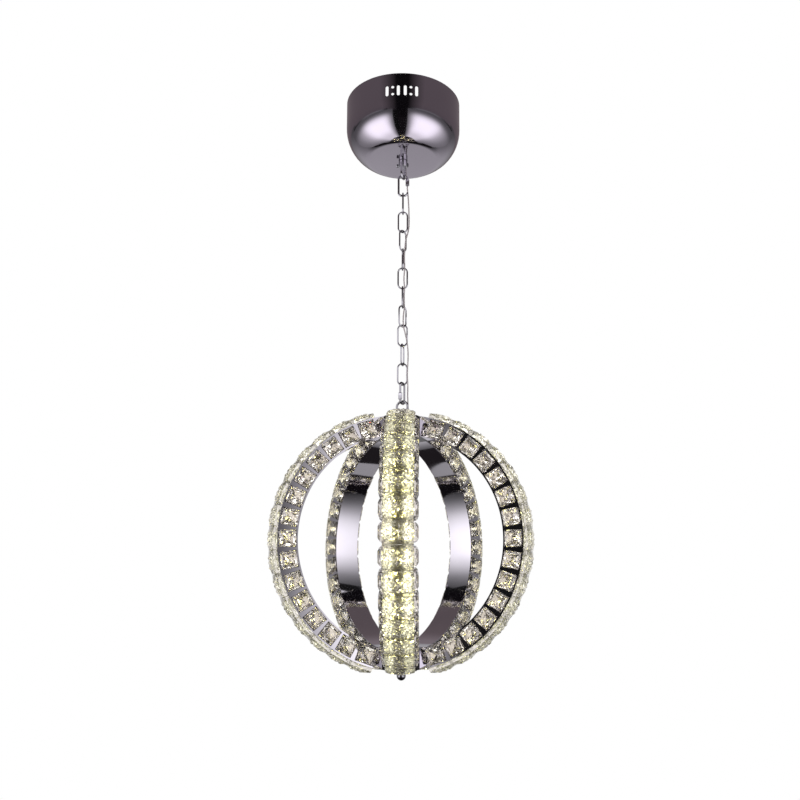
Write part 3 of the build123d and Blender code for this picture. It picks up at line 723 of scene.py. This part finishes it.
# Black powder coat: deep black with an orange-peel skin of about 1 mm.
black_coat = grained("steel_black_powder_coat", 900.0, 1.0, "#0d0c0d", "#1a191a", 0.2, 0.2 * MM, {
    "Roughness": 0.36, "IOR": 1.5})
for name in ("top_hub", "top_hub_cap", "bottom_hub", "bottom_hub_cap", "hub_cap_screws"):
    dress(nodes[name], black_coat)


# Each rib is a half ring of 1.2 mm stainless steel, folded to a channel that is open outwards and polished
# to a mirror. Its two cheeks have fifteen square windows each, with a crystal over every one.

# Mirror polished stainless steel: a neutral, slightly violet mirror with faint polishing clouds of 33 mm.
mirror_steel = clouded_mirror("stainless_mirror_polished", 30.0, "#cdc9d1", "#d9d5dd", clear=0.04, hazy=0.08)

rib_count = 5
rib_inner = 159.0 * MM
rib_outer = 188.2 * MM
rib_half_width = 20.0 * MM
rib_start = 33.5 * MM
sheet = 1.2 * MM
row_count = 15
row_pitch = 10.03
row_radius = (rib_inner + rib_outer) / 2
row_angles = [math.radians(row_pitch * (row - row_count // 2)) for row in range(row_count)]
rib_turns = [math.radians(-90 + 360 / rib_count * rib) for rib in range(rib_count)]
window = 20.5 * MM
half_sweep = math.radians(81)
sweep_steps = 124

# The channel's section is swept round the globe, cut off at the hub and closed there by an end plate.
deselect()
bpy.ops.mesh.primitive_plane_add(size=1)
edit()
bpy.ops.transform.resize(value=(rib_outer - rib_inner, 2 * rib_half_width, 1))
move(row_radius, 0, 0)
pick(lambda edge: all(vertex.co.x > row_radius for vertex in edge.verts), "EDGE")
bpy.ops.mesh.delete(type="EDGE_FACE")
bpy.ops.object.mode_set(mode="OBJECT")
bpy.context.object.data.transform(Matrix.Rotation(half_sweep, 4, "Y"))
edit()
bpy.ops.mesh.select_all(action="SELECT")
bpy.ops.mesh.spin(steps=sweep_steps, angle=2 * half_sweep, center=(0, 0, 0), axis=(0, 1, 0))
bpy.ops.mesh.select_all(action="SELECT")
bpy.ops.mesh.bisect(plane_co=(rib_start, 0, 0), plane_no=(1, 0, 0), clear_inner=True)
for level in (-1, 1):
    pick(lambda vertex: vertex.co.x < rib_start + level_slack and vertex.co.z * level > 0)
    bpy.ops.mesh.edge_face_add()
bpy.ops.mesh.select_all(action="SELECT")
bpy.ops.mesh.normals_make_consistent(inside=False)
bpy.ops.object.mode_set(mode="OBJECT")
channel = bpy.context.object
normal_sum = sum(face.normal.dot(Vector((face.center.x, 0, face.center.z)).normalized()) * face.area
                 for face in channel.data.polygons if abs(face.normal.y) < 0.5 and face.center.x > 0.05)
inward = -1.0 if normal_sum < 0 else 1.0
apply_modifier(channel, "SOLIDIFY", {"thickness": sheet, "offset": inward, "use_even_offset": True})
cutters = []
for angle in row_angles:
    deselect()
    bpy.ops.mesh.primitive_cube_add(size=1)
    cutter = bpy.context.object
    cutter.data.transform(Matrix.Rotation(-angle, 4, "Y") @ Matrix.Translation((row_radius, 0, 0))
                          @ Matrix.Diagonal((window, 3 * rib_half_width, window, 1)))
    cutters.append(cutter)
cut_away(channel, join(cutters))
channel = settle("rib_channel")
for rib, turn in enumerate(rib_turns):
    data = channel.data.copy()
    data.transform(Matrix.Translation((0, 0, globe_centre)) @ Matrix.Rotation(turn, 4, "Z"))
    piece = add_object(f"rib_{rib + 1}_channel", data)
    fit(piece, mirror_steel, "globe", f"rib_{rib + 1}_frame")
bpy.data.objects.remove(channel)


# Five flexible LED boards lie on the ribs' inner bands, with two warm chips behind every outer crystal.
# Clear acrylic strips close the ribs and carry the outer crystals.

def work_out(tree, found, steps):
    """Adds the nodes of a sum. Each step has its result's name, its operation and its terms, which are numbers
    or the names of values that are in found or were worked out before. The last result is returned."""
    for result, operation, *terms in steps:
        sockets = {number: found.get(term, term) for number, term in enumerate(terms)}
        found[result] = add_node(tree, "ShaderNodeMath", {"operation": operation}, sockets).outputs[0]
    return found[result]


def from_globe(tree, place):
    """A point's way from the globe's centre."""
    return add_node(tree, "ShaderNodeVectorMath", {"operation": "SUBTRACT"}, {
        0: place, 1: (0, 0, globe_centre)}).outputs[0]


def chip_light(tree, place, spread, width, most, least):
    """The light of the nearest chip at a point. The point's turn about the globe is wrapped to one rib and its
    height to one row, which leaves its distances across and along from the row's two spots, spread apart."""
    spot = add_node(tree, "ShaderNodeSeparateXYZ", {}, {0: from_globe(tree, place)})
    half_rib = math.radians(180 / rib_count)
    half_row = math.radians(row_pitch / 2)
    return work_out(tree, {axis: spot.outputs[axis] for axis in "XYZ"}, (
        ("x squared", "POWER", "X", 2), ("y squared", "POWER", "Y", 2),
        ("reach squared", "ADD", "x squared", "y squared"), ("reach", "SQRT", "reach squared"),
        ("heading", "ARCTAN2", "Y", "X"), ("from front", "ADD", "heading", math.pi / 2),
        ("turn", "WRAP", "from front", half_rib, -half_rib),
        ("sine", "SINE", "turn"), ("aside", "MULTIPLY", "reach", "sine"), ("across", "ABSOLUTE", "aside"),
        ("cosine", "COSINE", "turn"), ("ahead", "MULTIPLY", "reach", "cosine"),
        ("rise", "ARCTAN2", "Z", "ahead"), ("off row", "WRAP", "rise", half_row, -half_row),
        ("along", "MULTIPLY", "off row", spot_length * chip_face), ("along squared", "POWER", "along", 2),
        ("off spot", "SUBTRACT", "across", spread), ("off squared", "POWER", "off spot", 2),
        ("far", "ADD", "off squared", "along squared"), ("fall", "DIVIDE", "far", -2 * width ** 2),
        ("halo", "EXPONENT", "fall"), ("light", "MULTIPLY_ADD", "halo", most, least)))


# White solder mask with a warm phosphor dome on each chip. The mask is drawn in dark olive tones, painted
# shade of the board down in its channel, and a painted pool of each chip's light glows round every chip. The
# chips stand further from the globe's centre than the board, so their place is found by that distance. The
# mask's mottle of 2.5 mm is coarser than real.
board_thickness = 1.6 * MM
face_clearance = 0.3 * MM
chip_face = rib_inner + sheet + board_thickness + face_clearance
spot_length = 0.6
led_board, tree, place = start_material("led_board_lit")
distance = add_node(tree, "ShaderNodeVectorMath", {"operation": "LENGTH"}, {0: from_globe(tree, place)})
is_chip = add_node(tree, "ShaderNodeMath", {"operation": "GREATER_THAN"}, {
    0: distance.outputs["Value"], 1: chip_face})
mottle = add_node(tree, "ShaderNodeTexNoise", {}, {"Vector": place, "Scale": 400.0, "Detail": 2.0})
# The mask's dark olive tones are painted shade of the white board in its channel.
painted_shade_mask_tone = add_node(tree, "ShaderNodeValToRGB", {"stops": ((0, "#5f5834"), (1, "#8f8658"))}, {
    "Fac": mottle.outputs["Fac"]})
# Round each chip the mask glows with a painted pool of the chip's light; only the phosphor domes are lamps.
board = add_node(tree, "ShaderNodeBsdfPrincipled", {}, {
    "Base Color": painted_shade_mask_tone.outputs["Color"], "Roughness": 0.4, "IOR": 1.5, "Emission Color": linear("#fffab4"),
    "Emission Strength": chip_light(tree, place, 9.0 * MM, 2.4 * MM, 4.0, 0.01)})
glow = add_node(tree, "ShaderNodeEmission", {}, {"Color": linear("#fffab0"), "Strength": 45.0})
both = add_node(tree, "ShaderNodeMixShader", {}, {
    0: is_chip.outputs[0], 1: board.outputs[0], 2: glow.outputs[0]})
finish_material(tree, both)
dress(nodes["led_strips"], led_board)

# Cast acrylic, clear and colourless, with faint scuffs in clouds of 4 mm.
acrylic, tree, place = start_material("acrylic_clear_cast")
scuff = add_node(tree, "ShaderNodeTexNoise", {}, {"Vector": place, "Scale": 250.0, "Detail": 3.0})
haze = add_node(tree, "ShaderNodeMapRange", {}, {
    "Value": scuff.outputs["Fac"], "To Min": 0.0, "To Max": 0.06})
shader = add_node(tree, "ShaderNodeBsdfPrincipled", {}, {
    "Base Color": linear("#fbfbf9"), "Roughness": haze.outputs["Result"], "IOR": 1.49, "Transmission Weight": 1.0})
finish_material(tree, shader)
dress(nodes["rib_cover_strips"], acrylic)


# The crystals are machine cut from clear lead glass. A square one with a pointed back sits in each cheek
# window, and a wide one with a chequer cut crown covers each pair of chips on the outer edge.

# Cut and fire polished lead glass: clear, a high index for sparkle, and a trace of grey in streaks of 22 mm.
# Its small cuts, 4 to 5 mm across, are flat tilts of the surface. The glass on the outer edge is over the chips.
# Its copy is a little darker and has a painted glow of the chips' light towards its two ends, broken into painted
# sparks of 2.4 mm and brightest on facets seen face-on.
glasses = []
for name, dark, light in (("lead_glass_cut", "#f3eee6", "#fdf9ee"), ("lead_glass_cut_painted_lit", "#dfdbd0", "#f2efe6")):
    glass, tree, place = start_material(name)
    streak = add_node(tree, "ShaderNodeTexNoise", {}, {"Vector": place, "Scale": 45.0, "Detail": 1.0})
    tone = add_node(tree, "ShaderNodeValToRGB", {"stops": ((0, dark), (1, light))}, {
        "Fac": streak.outputs["Fac"]})
    cells = add_node(tree, "ShaderNodeTexVoronoi", {}, {"Vector": place, "Scale": 210.0})
    tilt = add_node(tree, "ShaderNodeVectorMath", {"operation": "SUBTRACT"}, {
        0: cells.outputs["Color"], 1: (0.5, 0.5, 0.5)})
    geometry = add_node(tree, "ShaderNodeNewGeometry", {}, {})
    cuts = add_node(tree, "ShaderNodeVectorMath", {"operation": "MULTIPLY_ADD"}, {
        0: tilt.outputs[0], 1: (0.24, 0.24, 0.24), 2: geometry.outputs["Normal"]})
    facets = add_node(tree, "ShaderNodeVectorMath", {"operation": "NORMALIZE"}, {0: cuts.outputs[0]})
    shader = add_node(tree, "ShaderNodeBsdfPrincipled", {}, {
        "Base Color": tone.outputs["Color"], "Roughness": 0.0, "IOR": 1.58, "Transmission Weight": 0.98,
        "Normal": facets.outputs[0]})
    # The copy over the chips gets painted light: a painted glow of the chips in painted sparks, strongest face-on.
    if name.endswith("lit"):
        spark = add_node(tree, "ShaderNodeTexNoise", {}, {"Vector": place, "Scale": 420.0, "Detail": 1.0})
        painted_sparks = add_node(tree, "ShaderNodeMapRange", {}, {
            "Value": spark.outputs["Fac"], "From Min": 0.45, "From Max": 0.56, "To Min": 0.0, "To Max": 1.0})
        outwards = add_node(tree, "ShaderNodeLayerWeight", {}, {"Blend": 0.5})
        known = {"carried": chip_light(tree, place, 12.5 * MM, 4.2 * MM, 1.35, 0.0),
                 "painted_sparks": painted_sparks.outputs["Result"], "facing": outwards.outputs["Facing"]}
        painted_glow = work_out(tree, known, (
            ("faced", "SUBTRACT", 1.0, "facing"), ("beam", "POWER", "faced", 2.5),
            ("sparkle", "MULTIPLY", "carried", "painted_sparks"), ("painted_glow", "MULTIPLY", "sparkle", "beam")))
        shader.inputs["Emission Color"].default_value = linear("#fffdd8")
        tree.links.new(painted_glow, shader.inputs["Emission Strength"])
    finish_material(tree, shader)
    glasses.append(glass)
crystal_glass, glow_painted_glass = glasses

cheek_size = 24.5 * MM
cheek_girdle = 2.4 * MM
cheek_height = 6.4 * MM
cheek_table = 14.5 * MM
cheek_back = 20.0 * MM
cheek_depth = 6.5 * MM
cheek_crown = cheek_height - cheek_girdle
steep_share = 0.6
shoulder_share = 0.84
back_tip_share = 0.04
back_facet_rise = 0.6 * MM

# The square crystal stands on z = 0 with its table upwards, as it does on the cheek.
deselect()
bpy.ops.mesh.primitive_cube_add(size=1)
edit()
bpy.ops.transform.resize(value=(cheek_size, cheek_size, cheek_girdle))
move(0, 0, cheek_girdle / 2)
pick(lambda face: face.normal.z > 0.9, "FACE")
pull(0, 0, cheek_crown * steep_share)
widen(shoulder_share)
pull(0, 0, cheek_crown * (1 - steep_share))
widen(cheek_table / cheek_size / shoulder_share)
pick(lambda face: face.normal.z < -0.9, "FACE")
bpy.ops.mesh.inset(thickness=(cheek_size - cheek_back) / 2)
pull(0, 0, -cheek_depth)
widen(back_tip_share)
pick(lambda face: -0.95 < face.normal.z < -0.1, "FACE")
bpy.ops.mesh.poke(offset=back_facet_rise)
square_crystal = settle("square_crystal", 0)

outer_length = 32.4 * MM
outer_width = 42.0 * MM
outer_girdle = 5.2 * MM
outer_height = 11.8 * MM
crown_height = outer_height - 1.4 * MM
facet_rise = 1.5 * MM
side_slip = 1.0 * MM
down_slip = 1.2 * MM
hollow_depth = 2.5 * MM

# The wide crystal is a grid of six by five facets. Its crown falls to both ends, its ends are rounded, and
# the corners of the facets are set a little irregularly, so that each facet shows its own spark. A shallow
# hollow of facets in its back splits the light of the chips.
cutter_hand = random.Random(5)
deselect()
bpy.ops.mesh.primitive_grid_add(x_subdivisions=6, y_subdivisions=5, size=1)
edit()
bpy.ops.transform.resize(value=(outer_width, outer_length, 1))
bpy.ops.object.mode_set(mode="OBJECT")
wide_crystal = bpy.context.object
for vertex in wide_crystal.data.vertices:
    across = min(1.0, abs(vertex.co.x) / (outer_width / 2))
    along = min(1.0, abs(vertex.co.y) / (outer_length / 2))
    rise = (1 - across ** 2.2) ** 0.6 * (0.5 + 0.5 * (1 - along ** 2) ** 0.5)
    vertex.co.z = outer_girdle + (crown_height - outer_girdle) * rise
    vertex.co.x *= 1 - 0.04 * along ** 3
    vertex.co.y *= 1 + 0.1 * max(0.0, vertex.co.z - outer_girdle) / (outer_height - outer_girdle)
    if across < 0.99 and along < 0.99:
        vertex.co.x += cutter_hand.uniform(-side_slip, side_slip)
        vertex.co.y += cutter_hand.uniform(-side_slip, side_slip)
        vertex.co.z += cutter_hand.uniform(-down_slip, 0.0)
edit()
pick(lambda face: all(abs(vertex.co.y) < outer_length * 0.4 for vertex in face.verts), "FACE")
bpy.ops.mesh.poke(offset=facet_rise)
pick(lambda edge: edge.is_boundary, "EDGE")
pull(0, 0, -outer_girdle / 2)
pull(0, 0, 0)
bpy.ops.transform.resize(value=(1, 1, 0))
pick(lambda edge: edge.is_boundary, "EDGE")
edges = bmesh.from_edit_mesh(wide_crystal.data).edges
move(0, 0, -next(edge.verts[0].co.z for edge in edges if edge.is_boundary))
bpy.ops.mesh.fill_holes(sides=0)
pick(lambda face: len(face.verts) > 8, "FACE")
bpy.ops.mesh.poke(offset=-hollow_depth)
bpy.ops.mesh.select_all(action="SELECT")
bpy.ops.mesh.quads_convert_to_tris(quad_method="SHORTEST_DIAGONAL")
wide_crystal = settle("wide_crystal", 0)


def set_crystals(model, name, places):
    """One object that holds a copy of the crystal at every place."""
    gathered = bmesh.new()
    for spot in places:
        data = model.data.copy()
        data.transform(spot)
        gathered.from_mesh(data)
        bpy.data.meshes.remove(data)
    data = bpy.data.meshes.new(name)
    gathered.to_mesh(data)
    gathered.free()
    return add_object(name, data)


for rib, turn in enumerate(rib_turns):
    to_rib = Matrix.Translation((0, 0, globe_centre)) @ Matrix.Rotation(turn, 4, "Z")
    cheek_places = []
    outer_places = []
    for row, angle in enumerate(row_angles):
        to_row = to_rib @ Matrix.Rotation(-angle, 4, "Y")
        quarter_turns = Matrix.Rotation(math.pi / 2 * ((row + rib) % 4), 4, "Z")
        half_turns = Matrix.Rotation(math.pi * ((row + rib) % 2), 4, "Z")
        for side in (-1, 1):
            seat = Matrix.Translation((row_radius, side * rib_half_width, 0))
            facing = Matrix.Rotation(-side * math.pi / 2, 4, "X")
            cheek_places.append(to_row @ seat @ facing @ quarter_turns)
        seat = Matrix.Translation((rib_outer, 0, 0))
        facing = Matrix.Rotation(math.pi / 2, 4, "Y") @ Matrix.Rotation(math.pi / 2, 4, "Z")
        outer_places.append(to_row @ seat @ facing @ half_turns)
    for model, glass, kind, places in (
            (square_crystal, crystal_glass, "cheek", cheek_places),
            (wide_crystal, glow_painted_glass, "outer", outer_places)):
        piece = set_crystals(model, f"rib_{rib + 1}_{kind}_cut_glass", places)
        fit(piece, glass, "globe", f"rib_{rib + 1}_{kind}_crystals")
bpy.data.objects.remove(square_crystal)
bpy.data.objects.remove(wide_crystal)


# The studio: a floor a storey below, a white surround, and glowing cloths and dark cards whose reflections
# shape the chrome. The lamp hangs in front of them as it did for the photograph.

# Pale matt floor paint. The camera sees it as white as the surround, and mirrors and glass see it dark.
floor_level = -3.1
deselect()
bpy.ops.mesh.primitive_plane_add(size=14, location=(0, 0, floor_level))
floor = bpy.context.object
floor.name = "floor"
floor_paint, tree, place = start_material("floor_paint_pale")
path = add_node(tree, "ShaderNodeLightPath", {}, {})
matt = add_node(tree, "ShaderNodeBsdfDiffuse", {}, {"Color": linear("#d9d7da")})
bright = add_node(tree, "ShaderNodeEmission", {}, {"Color": (1, 1, 1, 1), "Strength": 1.0})
shade = add_node(tree, "ShaderNodeEmission", {}, {"Color": linear("#232022"), "Strength": 1.0})
both = add_node(tree, "ShaderNodeMixShader", {}, {
    0: path.outputs["Is Camera Ray"], 1: matt.outputs[0], 2: bright.outputs[0]})
bent = add_node(tree, "ShaderNodeMath", {"operation": "MAXIMUM"}, {
    0: path.outputs["Is Glossy Ray"], 1: path.outputs["Is Transmission Ray"]})
whole = add_node(tree, "ShaderNodeMixShader", {}, {
    0: bent.outputs[0], 1: both.outputs[0], 2: shade.outputs[0]})
finish_material(tree, whole)
dress(floor, floor_paint)

# The room is dim above and dark below for the metal. Through the crystals it is a white surround at the
# lamp's height that turns to beige and grey above and below.
world = bpy.data.worlds.new("studio")
bpy.context.scene.world = world
world.use_nodes = True
tree = world.node_tree
tree.nodes.clear()
path = add_node(tree, "ShaderNodeLightPath", {}, {})
way = add_node(tree, "ShaderNodeTexCoord", {}, {})
up = add_node(tree, "ShaderNodeSeparateXYZ", {}, {0: way.outputs["Generated"]})
height = add_node(tree, "ShaderNodeMapRange", {}, {
    "Value": up.outputs["Z"], "From Min": -1.0, "From Max": 1.0, "To Min": 0.0, "To Max": 1.0})


def room_light(stops):
    """The room's light from the floor, 0, past the horizon, 0.5, to the zenith, 1."""
    tone = add_node(tree, "ShaderNodeValToRGB", {"stops": stops}, {"Fac": height.outputs["Result"]})
    return add_node(tree, "ShaderNodeBackground", {}, {"Color": tone.outputs["Color"], "Strength": 1.0})


white = add_node(tree, "ShaderNodeBackground", {}, {"Color": (1, 1, 1, 1), "Strength": 1.0})
room = add_node(tree, "ShaderNodeBackground", {}, {"Color": linear("#c9c8cc"), "Strength": 0.8})
mirror_room = room_light((
    (0.0, "#141214"), (0.46, "#3a3639"), (0.52, "#7c7478"), (0.66, "#857b7e"), (0.80, "#857b7e"),
    (0.87, "#6a6062"), (1.0, "#5c5456")))
glass_room = room_light((
    (0.0, "#141211"), (0.31, "#403a36"), (0.40, "#ebe7ee"), (0.60, "#faf8fd"), (0.69, "#756d63"),
    (1.0, "#3c3833")))

# A dark curtain hangs in front, between the cloths, and only mirrors see it.
black_flag = add_node(tree, "ShaderNodeBackground", {}, {"Color": linear("#161416"), "Strength": 1.0})
aside = add_node(tree, "ShaderNodeMath", {"operation": "ABSOLUTE"}, {0: up.outputs["X"]})
off_flag = add_node(tree, "ShaderNodeMapRange", {}, {
    "Value": aside.outputs[0], "From Min": 0.18, "From Max": 0.6})
behind = add_node(tree, "ShaderNodeMath", {"operation": "GREATER_THAN"}, {0: up.outputs["Y"], 1: 0.0})
clear_of_flag = add_node(tree, "ShaderNodeMath", {"operation": "MAXIMUM"}, {
    0: off_flag.outputs["Result"], 1: behind.outputs[0]})
mirrored = add_node(tree, "ShaderNodeMixShader", {}, {
    0: clear_of_flag.outputs[0], 1: black_flag.outputs[0], 2: mirror_room.outputs[0]})
metal = add_node(tree, "ShaderNodeMixShader", {}, {
    0: path.outputs["Is Glossy Ray"], 1: room.outputs[0], 2: mirrored.outputs[0]})
glass = add_node(tree, "ShaderNodeMixShader", {}, {
    0: path.outputs["Is Transmission Ray"], 1: metal.outputs[0], 2: glass_room.outputs[0]})
both = add_node(tree, "ShaderNodeMixShader", {}, {
    0: path.outputs["Is Camera Ray"], 1: glass.outputs[0], 2: white.outputs[0]})
add_node(tree, "ShaderNodeOutputWorld", {}, {"Surface": both.outputs[0]})


def cloth(name, low, high, sweep, least, glow, up_shares, round_shares):
    """A glowing cloth that curves round the lamp's axis and that only reflections see. low and high are its
    edges' distances from the axis and heights, and sweep is where it starts and ends, in degrees from the
    front. Over its least light it has a glow, which the pairs of a place, from 0 to 1, and a share spread up
    the cloth and round it."""
    steps = 60
    shape = bmesh.new()
    weave = shape.loops.layers.uv.new()
    columns = []
    for step in range(steps + 1):
        turn = math.radians(sweep[0] + (sweep[1] - sweep[0]) * step / steps)
        columns.append([shape.verts.new((reach * math.sin(turn), -reach * math.cos(turn), level))
                        for reach, level in (low, high)])
    for step, (first, second) in enumerate(zip(columns, columns[1:])):
        face = shape.faces.new((first[0], second[0], second[1], first[1]))
        for loop, spot in zip(face.loops, ((step, 0), (step + 1, 0), (step + 1, 1), (step, 1))):
            loop[weave].uv = (spot[0] / steps, spot[1])
    data = bpy.data.meshes.new(name)
    shape.to_mesh(data)
    shape.free()
    panel = add_object(name, data)
    material, tree, place = start_material(f"{name}_cloth")
    weft = add_node(tree, "ShaderNodeUVMap", {}, {})
    threads = add_node(tree, "ShaderNodeSeparateXYZ", {}, {0: weft.outputs["UV"]})
    shares = []
    for axis, stops in (("Y", up_shares), ("X", round_shares)):
        ramp = add_node(tree, "ShaderNodeValToRGB", {"stops": stops}, {"Fac": threads.outputs[axis]})
        ramp.color_ramp.interpolation = "B_SPLINE"
        shares.append(ramp.outputs["Color"])
    power = work_out(tree, {"up": shares[0], "round": shares[1]}, (
        ("share", "MULTIPLY", "up", "round"), ("power", "MULTIPLY_ADD", "share", glow, least)))
    finish_material(tree, add_node(tree, "ShaderNodeEmission", {}, {"Color": (0.99, 0.98, 1, 1), "Strength": power}))
    dress(panel, material)
    panel.visible_camera = False
    panel.visible_diffuse = False
    panel.visible_transmission = False
    panel.visible_shadow = False


# Two funnels under the cup light its bend, two tall cloths light the ribs, and a backdrop lights the cup's
# floor. Black cards keep light off the cloths' upper ends and the right front rib, and pale ones stand low.
side_shares = ((0.0, 0.0), (0.064, 0.33), (0.127, 0.8), (0.20, 1.0), (0.336, 1.0), (0.47, 1.0), (0.545, 0.93),
               (0.61, 0.8), (0.67, 0.54), (0.745, 0.33), (0.88, 0.12), (1.0, 0.08))
funnel_shares = ((0.0, 0.55), (0.04, 0.59), (0.12, 0.61), (0.20, 0.84), (0.28, 0.97), (0.44, 1.0), (0.52, 0.97),
                 (0.60, 0.85), (0.68, 0.52), (0.76, 0.17), (0.84, 0.04), (0.92, 0.01), (1.0, 0.0))
tall_shares = ((0.0, 0.03), (0.043, 0.085), (0.153, 0.24), (0.252, 0.54), (0.337, 0.82), (0.417, 0.95),
               (0.49, 1.0), (0.638, 0.97), (0.705, 0.79), (0.785, 0.56), (0.87, 0.26), (1.0, 0.12))
even = ((0.0, 1.0), (1.0, 1.0))
for way, side, funnel_start, tall_start in ((1, "right", 9.5, 13), (-1, "left", 17.5, 27)):
    cloth(f"funnel_{side}", (0.117, -0.478), (0.692, -0.028), (way * funnel_start, way * 118), 0.18, 2.9,
          funnel_shares, side_shares)
    cloth(f"tall_{side}", (0.85, -1.6), (0.85, 0.03), (way * tall_start, way * 110), 0.02, 1.92, tall_shares,
          side_shares)
    cloth(f"card_{side}", (0.45, -0.32), (0.45, -0.235), (way * 84, way * 114), 0.01, 0.0, even, even)
    cloth(f"low_card_{side}", (0.85, -2.15), (0.85, -1.75), (way * 119, way * 146), 0.4, 0.0, even, even)
cloth("card_front", (0.8, -1.3), (0.8, -0.1), (-8, -27), 0.01, 0.0, even, even)
cloth("backdrop", (2.0, -2.3), (2.0, 0.3), (105, 255), 0.0, 0.88,
      ((0.0, 0.1), (0.2, 0.6), (0.35, 1.0), (0.7, 1.0), (0.85, 0.7), (1.0, 0.4)),
      ((0.0, 0.25), (0.15, 0.35), (0.3, 0.9), (0.7, 0.9), (0.85, 0.35), (1.0, 0.25)))

# Four square lamps face the globe. They light what is matt, and no mirror shows them.
for name, place, size, power in (
        ("key_lamp", (1.3, -1.6, 0.4), 1.2, 16), ("fill_lamp", (-1.5, -1.4, 0.2), 1.2, 14),
        ("back_lamp", (0.3, 1.6, 0.5), 1.4, 12), ("under_lamp", (0.0, -0.6, -2.0), 1.2, 8)):
    lamp_data = bpy.data.lights.new(name, "AREA")
    lamp_data.shape = "SQUARE"
    lamp_data.size = size
    lamp_data.energy = power
    lamp = add_object(name, lamp_data)
    lamp.location = place
    lamp.rotation_euler = (Vector((0, 0, globe_centre)) - Vector(place)).to_track_quat("-Z", "Y").to_euler()
    lamp.visible_glossy = False
    lamp.visible_camera = False
